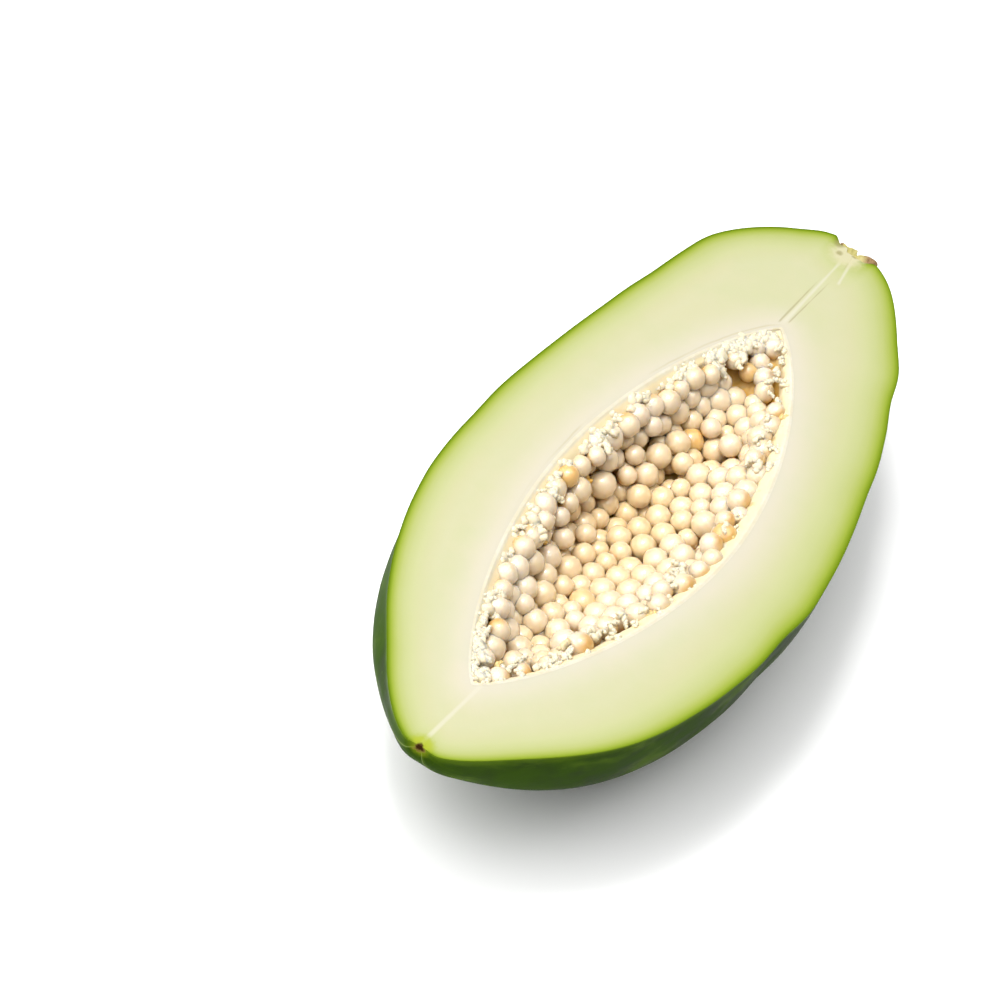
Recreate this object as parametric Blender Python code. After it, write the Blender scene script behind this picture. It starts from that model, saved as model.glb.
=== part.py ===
"""Half a green papaya, cut lengthwise, lying on its rounded back with the cut face up.

Three pieces: the flesh with its skin, the seed bed that lines the hollow, and the dry
stub of the stem. X runs from the blossom tip (-) to the stem (+), Z points out of the cut
face. The shapes are made with the cut plane at height 0 and set on the surface at the end.
"""

import math
import random

import bmesh
import bpy
from mathutils import Matrix, Vector

MM = 0.001

# Fruit, outside
LENGTH = 215 * MM
STATION_HALF_WIDTHS = [w * MM for w in (33.0, 44.4, 49.6, 49.5, 48.4, 45.6, 43.6, 44.4, 45.9)]
STATION_SIDE_SHIFTS = [d * MM for d in (-0.5, -3.1, -3.1, -3.4, -3.7, -3.2, -1.1, 1.5, 0.3)]
DEPTH_RATIO = 1.10
SQUARENESS = 2.15
LOBES = 5
LOBE_TURN = math.radians(18)
LOBE_DEPTH = 0.012
LOBE_DEPTH_AT_ENDS = 0.035
LOBE_END_POWER = 6
FRUIT_SIDES = 48
FRUIT_RINGS = 42
REST_SPOT_DEPTH = 0.9 * MM

# Dimples at the two ends
STEM_DIMPLE_DEPTH = 4.5 * MM
STEM_DIMPLE_FLOOR = 4.6 * MM
STEM_DIMPLE_RADIUS = 9.5 * MM
STEM_RING_CROWDING = 1.25
TIP_DIMPLE_DEPTH = 1.2 * MM
TIP_DIMPLE_RADIUS = 5.0 * MM
PLANE_TOLERANCE = 0.0001 * MM

# Seed hollow
HOLLOW_START = -83 * MM
HOLLOW_LENGTH = 151 * MM
HOLLOW_HALF_WIDTH = 24.4 * MM
HOLLOW_FULLNESS = 1.9
HOLLOW_POINT = 0.8
HOLLOW_DEPTH_RATIO = 1.22
HOLLOW_SIDE_SHIFT = -3.2 * MM
HOLLOW_STAR_DEPTH = 0.05
HOLLOW_END_INSET = 2
HOLLOW_SIDES = 28
HOLLOW_RINGS = 24

# Seed bed: thin at the rim, thick below, its valley nearer the +Y side, with seeds sunk in it
GAP = 0.3 * MM
BED_RIM_THICKNESS = 1.9 * MM
BED_DEPTH_SHARE = 0.68
BED_LEAN = 6.0 * MM
BED_INNER_SIDES = 16
BED_INNER_RINGS = 16
BED_RIM_DROP = 0.6 * MM
SEED_DIAMETER = 6.9 * MM
SEED_DIAMETER_SPREAD = 0.06
SEED_SIDES = 6
SEED_BANDS = 4
SEED_CLOSEST = 5.5 * MM
SEED_STANDOFF = 2.8 * MM
SEED_TOP_MARGIN = 0.3 * MM
SEED_REACH = 0.97
SEED_CANDIDATES = 6000
SEED_RANDOM = 7

# Stem stub
STUB_RADIUS = 3.6 * MM
STUB_END = 108.2 * MM
STUB_FLARE = 1.15
STUB_SIDES = 20

# Colour and roughness of each piece, and the angle above which its edges stay sharp
FLESH_LOOK = ((0.055, 0.135, 0.012), 0.35)
SEED_LOOK = ((0.86, 0.78, 0.62), 0.3)
STUB_LOOK = ((0.36, 0.25, 0.11), 0.8)
SHARP_ANGLE = math.radians(50)


def clear_scene():
    """Removes every object of the scene."""
    for obj in list(bpy.data.objects):
        bpy.data.objects.remove(obj, do_unlink=True)


def make_material(name, colour, roughness):
    """A plain Principled material of one colour."""
    material = bpy.data.materials.new(name)
    material.use_nodes = True
    shader = material.node_tree.nodes["Principled BSDF"]
    shader.inputs["Base Color"].default_value = (*colour, 1.0)
    shader.inputs["Roughness"].default_value = roughness
    shader.inputs["Metallic"].default_value = 0.0
    return material


def smooth_between(values, s):
    """The value at s, from 0 to 1, on a smooth curve through evenly spaced values."""
    last = len(values) - 1
    place = min(max(s, 0.0), 1.0) * last
    i = min(int(place), last - 1)
    t = place - i
    before = values[i - 1] if i > 0 else 2 * values[0] - values[1]
    after = values[i + 2] if i + 2 <= last else 2 * values[last] - values[last - 1]
    a, b = values[i], values[i + 1]
    slope_a, slope_b = (b - before) / 2, (after - a) / 2
    return (
        a * (2 * t**3 - 3 * t**2 + 1)
        + b * (3 * t**2 - 2 * t**3)
        + slope_a * (t**3 - 2 * t**2 + t)
        + slope_b * (t**3 - t**2)
    )


def squared_circle(angle):
    """Radius of a slightly squared unit circle at this angle."""
    c, s = abs(math.cos(angle)), abs(math.sin(angle))
    return (c**SQUARENESS + s**SQUARENESS) ** (-1 / SQUARENESS)


def dimple(radius, floor, brim):
    """1 on a dimple's flat floor, 0 at its brim, smooth in between."""
    t = min(1.0, max(0.0, (radius - floor) / (brim - floor)))
    return 1 - t * t * (3 - 2 * t)


def fruit_point(along, angle):
    """A point of the whole fruit's skin: along is -1 at the tip and 1 at the stem."""
    s = (along + 1) / 2
    round_end = math.sqrt(max(0.0, 1 - along**2))
    lobe_depth = LOBE_DEPTH + LOBE_DEPTH_AT_ENDS * along**LOBE_END_POWER
    lobes = 1 + lobe_depth * math.cos(LOBES * (angle - LOBE_TURN))
    radius = round_end * smooth_between(STATION_HALF_WIDTHS, s) * squared_circle(angle) * lobes
    x = along * LENGTH / 2
    if along > 0:
        x -= STEM_DIMPLE_DEPTH * dimple(radius, STEM_DIMPLE_FLOOR, STEM_DIMPLE_RADIUS)
    else:
        x += TIP_DIMPLE_DEPTH * dimple(radius, 0, TIP_DIMPLE_RADIUS)
    y = smooth_between(STATION_SIDE_SHIFTS, s) + radius * math.cos(angle)
    z = DEPTH_RATIO * radius * math.sin(angle)
    return Vector((x, y, z))


def hollow_point(along, angle, inset):
    """A point of the hollow's wall, or of a like surface that lies inset inside it."""
    star = 1 + HOLLOW_STAR_DEPTH * math.cos(LOBES * (angle - LOBE_TURN))
    width = (1 - abs(along) ** HOLLOW_FULLNESS) ** HOLLOW_POINT if abs(along) < 1 else 0.0
    shrink = 1 - inset / HOLLOW_HALF_WIDTH
    radius = HOLLOW_HALF_WIDTH * shrink * width * star
    half = HOLLOW_LENGTH / 2 - HOLLOW_END_INSET * inset
    x = HOLLOW_START + HOLLOW_LENGTH / 2 + along * half
    y = HOLLOW_SIDE_SHIFT * width + radius * math.cos(angle)
    z = HOLLOW_DEPTH_RATIO * radius * math.sin(angle)
    return Vector((x, y, z))


def bed_point(along, angle, lift):
    """A point of the bed's upper surface, or of a like surface that lies lift above it."""
    point = hollow_point(along, angle, GAP + BED_RIM_THICKNESS + lift)
    depth = point.z / (HOLLOW_DEPTH_RATIO * HOLLOW_HALF_WIDTH)
    point.y += BED_LEAN * depth**2
    point.z *= BED_DEPTH_SHARE
    return point


def add_shaped_sphere(work, sides, rings, shape):
    """Adds a sphere with its poles on X to a bmesh, each vertex moved to shape(along, angle)."""
    ball = bmesh.ops.create_uvsphere(
        work, u_segments=sides, v_segments=rings, radius=1, matrix=Matrix.Rotation(math.pi / 2, 4, "Y")
    )
    for vertex in ball["verts"]:
        from_stem = math.acos(min(1.0, max(-1.0, vertex.co.x))) / math.pi
        along = math.cos(math.pi * from_stem**STEM_RING_CROWDING)
        vertex.co = shape(along, math.atan2(vertex.co.z, vertex.co.y))
    return {face for vertex in ball["verts"] for face in vertex.link_faces}


def half_cup(name, outside, inside, sides, rings, rim_height):
    """A cup cut off flat at rim_height: the space between an outer and an inner shaped sphere."""
    work = bmesh.new()
    add_shaped_sphere(work, sides[0], rings[0], outside)
    inner_faces = add_shaped_sphere(work, sides[1], rings[1], inside)
    bmesh.ops.recalc_face_normals(work, faces=work.faces)
    bmesh.ops.reverse_faces(work, faces=list(inner_faces))
    cut = bmesh.ops.bisect_plane(
        work,
        geom=[*work.verts, *work.edges, *work.faces],
        dist=PLANE_TOLERANCE,
        plane_co=(0, 0, rim_height),
        plane_no=(0, 0, 1),
        clear_outer=True,
    )
    rims = [item for item in cut["geom_cut"] if isinstance(item, bmesh.types.BMEdge)]
    bmesh.ops.triangle_fill(work, use_beauty=True, edges=rims, normal=(0, 0, 1))
    mesh = bpy.data.meshes.new(name)
    work.to_mesh(mesh)
    work.free()
    obj = bpy.data.objects.new(name, mesh)
    bpy.context.scene.collection.objects.link(obj)
    return obj


def slice_off(obj, point, outwards):
    """Cuts a closed mesh by a plane, drops the side that outwards points to and closes the cut."""
    work = bmesh.new()
    work.from_mesh(obj.data)
    cut = bmesh.ops.bisect_plane(
        work,
        geom=[*work.verts, *work.edges, *work.faces],
        dist=PLANE_TOLERANCE,
        plane_co=point,
        plane_no=outwards,
        clear_outer=True,
    )
    edges = [item for item in cut["geom_cut"] if isinstance(item, bmesh.types.BMEdge)]
    bmesh.ops.edgeloop_fill(work, edges=edges)
    bmesh.ops.recalc_face_normals(work, faces=work.faces)
    work.to_mesh(obj.data)
    work.free()


def join_collection(obj, collection):
    """Joins obj and every object of a collection in one body."""
    modifier = obj.modifiers.new("join", "BOOLEAN")
    modifier.operation = "UNION"
    modifier.solver = "MANIFOLD"
    modifier.operand_type = "COLLECTION"
    modifier.collection = collection
    evaluated = obj.evaluated_get(bpy.context.evaluated_depsgraph_get())
    mesh = bpy.data.meshes.new_from_object(evaluated)
    obj.modifiers.remove(modifier)
    obj.data = mesh


def keep_largest_shell(obj):
    """Fills the small hollows that joining sealed, by keeping only the largest connected surface."""
    work = bmesh.new()
    work.from_mesh(obj.data)
    waiting = set(work.faces)
    shells = []
    while waiting:
        shell, edge_of_shell = set(), {waiting.pop()}
        while edge_of_shell:
            face = edge_of_shell.pop()
            shell.add(face)
            waiting.discard(face)
            near = {other for edge in face.edges for other in edge.link_faces}
            edge_of_shell |= near - shell
        shells.append(shell)
    shells.sort(key=len)
    for shell in shells[:-1]:
        bmesh.ops.delete(work, geom=list(shell), context="FACES")
    work.to_mesh(obj.data)
    work.free()


def build_flesh():
    """Flesh and skin as one body: the fruit's lower half round the seed hollow."""
    flesh = half_cup(
        "papaya_half",
        fruit_point,
        lambda along, angle: hollow_point(along, angle, 0),
        (FRUIT_SIDES, HOLLOW_SIDES),
        (FRUIT_RINGS, HOLLOW_RINGS),
        0,
    )
    lowest = min(vertex.co.z for vertex in flesh.data.vertices)
    slice_off(flesh, (0, 0, lowest + REST_SPOT_DEPTH), (0, 0, -1))
    return flesh


def build_stub():
    """The half of the stem's round stub that stayed with this half, flared towards its end."""
    mesh = bpy.data.meshes.new("stem_stub")
    work = bmesh.new()
    start = LENGTH / 2 - STEM_DIMPLE_DEPTH + GAP
    length = STUB_END - start
    bmesh.ops.create_cone(
        work,
        cap_ends=True,
        segments=STUB_SIDES,
        radius1=STUB_RADIUS,
        radius2=STUB_RADIUS * STUB_FLARE,
        depth=length,
        matrix=Matrix.Translation((start + length / 2, STATION_SIDE_SHIFTS[-1], 0))
        @ Matrix.Rotation(math.pi / 2, 4, "Y"),
    )
    work.to_mesh(mesh)
    work.free()
    stub = bpy.data.objects.new("stem_stub", mesh)
    bpy.context.scene.collection.objects.link(stub)
    slice_off(stub, (0, 0, 0), (0, 0, 1))
    return stub


def seed_places():
    """Centre and outward direction of each seed: random spots on the bed, packed side by side."""
    draw = random.Random(SEED_RANDOM)
    top = -SEED_TOP_MARGIN - SEED_DIAMETER / 2
    free = []
    for _ in range(SEED_CANDIDATES):
        spot = draw.uniform(-SEED_REACH, SEED_REACH), draw.uniform(math.pi, 2 * math.pi)
        place = bed_point(*spot, SEED_STANDOFF)
        outwards = (place - bed_point(*spot, 0)).normalized()
        place.z = min(place.z, top)
        free.append([math.inf, place, outwards])
    seeds = []
    while free:
        _, place, outwards = min(free, key=lambda spot: spot[0])
        seeds.append((place, outwards))
        for spot in free:
            spot[0] = min(spot[0], (spot[1] - place).length)
        free = [spot for spot in free if spot[0] > SEED_CLOSEST]
    return seeds


def seed_ball(name, place, outwards, diameter):
    """One seed as a ball of few faces, its pole pointing outwards."""
    mesh = bpy.data.meshes.new(name)
    work = bmesh.new()
    turned = outwards.to_track_quat("Z", "Y").to_matrix().to_4x4()
    bmesh.ops.create_uvsphere(
        work,
        u_segments=SEED_SIDES,
        v_segments=SEED_BANDS,
        radius=diameter / 2,
        matrix=Matrix.Translation(place) @ turned,
    )
    work.to_mesh(mesh)
    work.free()
    return bpy.data.objects.new(name, mesh)


def build_seed_bed():
    """The pale lining of the hollow and the seeds on it, joined in one body."""
    bed = half_cup(
        "seed_bed",
        lambda along, angle: hollow_point(along, angle, GAP),
        lambda along, angle: bed_point(along, angle, 0),
        (HOLLOW_SIDES, BED_INNER_SIDES),
        (HOLLOW_RINGS, BED_INNER_RINGS),
        -BED_RIM_DROP,
    )
    seeds = bpy.data.collections.new("seeds_to_join")
    bpy.context.scene.collection.children.link(seeds)
    draw = random.Random(SEED_RANDOM)
    for number, (place, outwards) in enumerate(seed_places()):
        diameter = SEED_DIAMETER * (1 + draw.uniform(-1, 1) * SEED_DIAMETER_SPREAD)
        seeds.objects.link(seed_ball(f"seed_{number}", place, outwards, diameter))
    join_collection(bed, seeds)
    for seed in list(seeds.objects):
        bpy.data.objects.remove(seed)
    bpy.data.collections.remove(seeds)
    keep_largest_shell(bed)
    return bed


def finish(obj, colour, roughness):
    """Gives a piece its material and shading."""
    obj.data.materials.clear()
    obj.data.materials.append(make_material(obj.name + "_material", colour, roughness))
    obj.data.shade_smooth()
    obj.data.set_sharp_from_angle(angle=SHARP_ANGLE)


def set_on_origin(pieces):
    """Moves the pieces so that the origin is at the centre of their box, on the surface below."""
    points = [vertex.co for obj in pieces for vertex in obj.data.vertices]
    low = Vector(min(p[i] for p in points) for i in range(3))
    high = Vector(max(p[i] for p in points) for i in range(3))
    shift = Vector((-(low.x + high.x) / 2, -(low.y + high.y) / 2, -low.z))
    for obj in pieces:
        obj.data.transform(Matrix.Translation(shift))


def main():
    """Builds the half fruit."""
    clear_scene()
    papaya = bpy.data.collections.new("papaya")
    bpy.context.scene.collection.children.link(papaya)
    flesh = build_flesh()
    bed = build_seed_bed()
    stub = build_stub()
    finish(flesh, *FLESH_LOOK)
    finish(bed, *SEED_LOOK)
    finish(stub, *STUB_LOOK)
    set_on_origin([flesh, bed, stub])
    for obj in (flesh, bed, stub):
        bpy.context.scene.collection.objects.unlink(obj)
        papaya.objects.link(obj)


main()
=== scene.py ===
"""The looks of half a green papaya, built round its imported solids.

The half fruit lies on its rounded back with the cut face up. Flesh and skin are one closed
body with two finishes. The seed bed is a lining of the hollow, a heap of round seeds and torn
crumbs of tissue along the rim. The dry stub of the stem sits in the dimple of the stem end.
"""

import logging
import math
from dataclasses import dataclass
from enum import Enum
from typing import Callable, Iterable, Sequence

import bpy
import numpy as np
from mathutils import Matrix, Vector, noise


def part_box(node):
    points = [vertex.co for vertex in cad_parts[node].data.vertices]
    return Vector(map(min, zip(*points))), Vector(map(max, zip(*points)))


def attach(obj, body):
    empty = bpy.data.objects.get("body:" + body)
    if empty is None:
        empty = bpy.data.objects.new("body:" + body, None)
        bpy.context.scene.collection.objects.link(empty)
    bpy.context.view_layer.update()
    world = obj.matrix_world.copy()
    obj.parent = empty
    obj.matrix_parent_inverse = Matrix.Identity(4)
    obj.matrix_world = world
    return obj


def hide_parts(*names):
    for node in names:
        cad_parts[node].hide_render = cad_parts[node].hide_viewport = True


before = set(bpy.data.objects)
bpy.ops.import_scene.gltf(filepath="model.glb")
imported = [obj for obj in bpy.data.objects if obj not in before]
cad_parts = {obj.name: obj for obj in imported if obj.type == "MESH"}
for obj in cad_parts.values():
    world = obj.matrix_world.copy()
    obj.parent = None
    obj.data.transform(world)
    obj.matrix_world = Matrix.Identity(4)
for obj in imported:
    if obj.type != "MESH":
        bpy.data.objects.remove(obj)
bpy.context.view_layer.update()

log = logging.getLogger("papaya")

MM = 0.001
STUDIO_LIGHT = 2.1
RIM_TOLERANCE = 1e-5

Array = np.ndarray
Socket = bpy.types.NodeSocket
Colour = tuple[float, float, float]
Place = tuple[float, float, float]
Shape = Callable[[Array, Array], Array]


class Slot(Enum):
    """Material slots of the record."""

    FLESH = "flesh"
    SEEDS = "seeds"
    STEM = "stem"


class Node(Enum):
    """Solids of the frame that finer pieces stand for."""

    FLESH = "papaya_half"
    SEEDS = "seed_bed"
    STEM = "stem_stub"


def seen(red: int, green: int, blue: int) -> Colour:
    """Turns a colour as it looks on the lit cut face into the linear colour that shaders use.

    Args:
        red: Red from 0 to 255.
        green: Green from 0 to 255.
        blue: Blue from 0 to 255.

    Returns:
        The linear colour, lowered by as much as the studio's light is over full white.
    """
    channels = (channel / 255 for channel in (red, green, blue))
    linear = (c / 12.92 if c <= 0.04045 else ((c + 0.055) / 1.055) ** 2.4 for c in channels)
    return tuple(c / STUDIO_LIGHT for c in linear)


def smooth_between(values: Sequence[float], s: Array) -> Array:
    """Reads a smooth curve through evenly spaced values.

    Args:
        values: The curve's values at even steps.
        s: Places on the curve, from 0 to 1.

    Returns:
        The curve's value at each place.
    """
    first, last = values[0], values[-1]
    padded = np.array([2 * first - values[1], *values, 2 * last - values[-2]])
    steps = len(values) - 1
    place = np.clip(s, 0, 1) * steps
    i = np.minimum(place.astype(int), steps - 1)
    t = place - i
    before, a, b, after = (padded[i + k] for k in range(4))
    slope_a, slope_b = (b - before) / 2, (after - a) / 2
    return (
        a * (2 * t**3 - 3 * t**2 + 1)
        + b * (3 * t**2 - 2 * t**3)
        + slope_a * (t**3 - 2 * t**2 + t)
        + slope_b * (t**3 - t**2)
    )


def smooth_step(value: Array, start: float, end: float) -> Array:
    """Rises smoothly from 0 at start to 1 at end."""
    t = np.clip((value - start) / (end - start), 0, 1)
    return t * t * (3 - 2 * t)


def hill(value: Array, rise: tuple[float, float], fall: tuple[float, float]) -> Array:
    """1 between a rise and a fall, each given by where it is 0 and where it is 1."""
    return smooth_step(value, *rise) * smooth_step(value, *fall)


def lumps(points: Array, size: float, offset: float = 0.0) -> Array:
    """Soft random heights, from about -1 to 1, at some points.

    Args:
        points: Places in metres, one a row.
        size: Width of a lump in metres.
        offset: Moves the pattern, so that two uses differ.

    Returns:
        One height for each point.
    """
    shift = Vector((offset, 2 * offset, 3 * offset))
    return np.array([noise.noise(Vector(p) / size + shift) for p in points])


@dataclass(frozen=True)
class FruitForm:
    """Outer form of the fruit and its seed hollow, with the same sizes as the solids.

    A place on a surface is given by how far along the fruit it lies, from -1 at the blossom
    tip to 1 at the stem, and by its angle round the long axis, with 0 at +Y. The cut edge
    also has slight waves, which the solids leave out. They are given in millimetres inwards
    at evenly spaced places: far ones on the +Y side and near ones on the other. Below the cut,
    the +Y side swells out a little near the tip, and the back is slimmer there. Pairs of sizes
    at the stem are for the +Y side and for the other.

    Attributes:
        bulge_below: Sines of the angle below the cut where the bulge starts and where it is full.
        bulge_side: The same for cosines, which are 1 on the +Y side.
        bulge_reach: Places along the fruit for its rise and its fall, each from 0 to full.
        slim_reach: The same for the slim back.
        shoulder_reach: The same for the shoulder round the dimple, by distance from its middle.
    """

    origin: Place
    length: float = 215 * MM
    half_widths: tuple[float, ...] = (33.0, 44.4, 49.6, 49.5, 48.4, 45.6, 43.6, 44.4, 45.9)
    side_shifts: tuple[float, ...] = (-0.5, -3.1, -3.1, -3.4, -3.7, -3.2, -1.1, 1.5, 0.3)
    depth_ratio: float = 1.10
    squareness: float = 2.15
    far_waves: tuple[float, ...] = (
        *(0, 0.3, 1.3, 1.0, 1.3, 1.6, 1.2, 0.5, 0.5, 0.7, 0.3),
        *(0, -0.4, -0.6, -0.6, -0.6, 0.1, -0.3, -2.3, -2.0, 0),
    )
    near_waves: tuple[float, ...] = (
        *(0, 0.9, -0.7, -1.4, -0.7, 0.3, 0.8, 0.8, 1.5, 0.9, 1.4),
        *(1.5, 1.5, 1.4, 0.4, 0.2, 0.5, -1.1, 0.6, 1.4, 0),
    )
    tip_bulge: float = 3.8 * MM
    bulge_below: tuple[float, float] = (0.03, 0.4)
    bulge_side: tuple[float, float] = (0.0, 0.5)
    bulge_reach: tuple[tuple[float, float], ...] = ((-0.98, -0.75), (-0.1, -0.45))
    tip_slimness: float = 0.10
    slim_reach: tuple[tuple[float, float], ...] = ((-0.3, -0.8), (-1.0, -0.92))
    lobes: int = 5
    lobe_turn: float = math.radians(18)
    lobe_depth: float = 0.012
    lobe_depth_at_ends: float = 0.035
    lobe_end_power: int = 6
    stem_dimple_depth: tuple[float, float] = (1.8 * MM, 3.2 * MM)
    stem_dimple_floor: tuple[float, float] = (2.0 * MM, 3.4 * MM)
    stem_dimple_radius: tuple[float, float] = (5.0 * MM, 9.5 * MM)
    shoulder_rise: float = 1.0 * MM
    shoulder_reach: tuple[tuple[float, float], ...] = ((2 * MM, 5 * MM), (14 * MM, 7 * MM))
    tip_dimple_depth: float = 1.2 * MM
    tip_dimple_radius: float = 5.0 * MM
    ring_crowding: float = 1.25
    hollow_start: float = -83 * MM
    hollow_length: float = 151 * MM
    hollow_half_width: float = 24.4 * MM
    hollow_fullness: float = 1.9
    hollow_point: float = 0.8
    hollow_depth_ratio: float = 1.22
    hollow_side_shift: float = -3.2 * MM
    hollow_star_depth: float = 0.05
    lining_depth_share: float = 0.85
    stub_end: float = 108.2 * MM
    stub_side: float = 0.3 * MM

    @classmethod
    def on_frame(cls) -> "FruitForm":
        """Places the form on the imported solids: the stub gives X and Y, the cut face gives Z.

        Returns:
            The placed form.
        """
        low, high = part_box(Node.STEM.value)
        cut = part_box(Node.FLESH.value)[1][2]
        return cls(origin=(high[0] - cls.stub_end, (low[1] + high[1]) / 2 - cls.stub_side, cut))

    @property
    def cut_height(self) -> float:
        """Height of the cut face."""
        return self.origin[2]

    def _dimple(self, radius: Array, floor: Array | float, brim: Array | float) -> Array:
        """1 on a dimple's floor and 0 at its brim."""
        return 1 - smooth_step(radius, floor, brim)

    def skin(self, along: Array, angle: Array) -> Array:
        """Points of the skin.

        Args:
            along: Places along the fruit.
            angle: Angles round the long axis.

        Returns:
            One point a row.
        """
        c, s = np.abs(np.cos(angle)), np.abs(np.sin(angle))
        squared = (c**self.squareness + s**self.squareness) ** (-1 / self.squareness)
        round_end = np.sqrt(np.clip(1 - along**2, 0, None))
        depth = self.lobe_depth + self.lobe_depth_at_ends * along**self.lobe_end_power
        lobes = 1 + depth * np.cos(self.lobes * (angle - self.lobe_turn))
        share = (along + 1) / 2
        radius = round_end * smooth_between(self.half_widths, share) * MM * squared * lobes
        far, near = (smooth_between(waves, share) for waves in (self.far_waves, self.near_waves))
        radius -= np.where(np.cos(angle) > 0, far, near) * MM * np.cos(angle) ** 2 * round_end
        low = smooth_step(-np.sin(angle), *self.bulge_below) * smooth_step(np.cos(angle), *self.bulge_side)
        radius += self.tip_bulge * low * hill(along, *self.bulge_reach)
        side = 0.5 - 0.5 * np.cos(angle)
        sizes = (self.stem_dimple_depth, self.stem_dimple_floor, self.stem_dimple_radius)
        deep, floor, brim = (far + (near - far) * side for far, near in sizes)
        rise = hill(radius, *self.shoulder_reach)
        stem = deep * self._dimple(radius, floor, brim) - self.shoulder_rise * rise * (1 - side)
        tip = self.tip_dimple_depth * self._dimple(radius, 0, self.tip_dimple_radius)
        x = along * self.length / 2 - np.where(along > 0, stem, -tip)
        y = smooth_between(self.side_shifts, share) * MM + radius * np.cos(angle)
        ratio = self.depth_ratio - self.tip_slimness * hill(along, *self.slim_reach)
        z = ratio * radius * np.sin(angle)
        return np.stack((x, y, z), axis=1) + self.origin

    def hollow_width(self, along: Array) -> Array:
        """Half the hollow's width as a share of its widest, 0 at its two ends."""
        inside = np.clip(1 - np.abs(along) ** self.hollow_fullness, 0, None)
        return inside**self.hollow_point

    def hollow(self, along: Array, angle: Array, inset: float = 0.0, share: float = 1.0) -> Array:
        """Points of the hollow's wall, or of a like surface inside it.

        Args:
            along: Places along the hollow.
            angle: Angles round the long axis.
            inset: How far inside the wall the surface lies.
            share: Depth as a share of the hollow's.

        Returns:
            One point a row.
        """
        star = 1 + self.hollow_star_depth * np.cos(self.lobes * (angle - self.lobe_turn))
        width = self.hollow_width(along)
        radius = (self.hollow_half_width - inset) * width * star
        half = self.hollow_length / 2 - inset
        x = self.hollow_start + self.hollow_length / 2 + along * half
        y = self.hollow_side_shift * width + radius * np.cos(angle)
        z = self.hollow_depth_ratio * share * radius * np.sin(angle)
        return np.stack((x, y, z), axis=1) + self.origin

    def place(self, x: float, y: float, z: float = 0.0) -> Place:
        """A place given in millimetres from the form's own origin on the cut face."""
        return tuple(o + v * MM for o, v in zip(self.origin, (x, y, z)))


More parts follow.
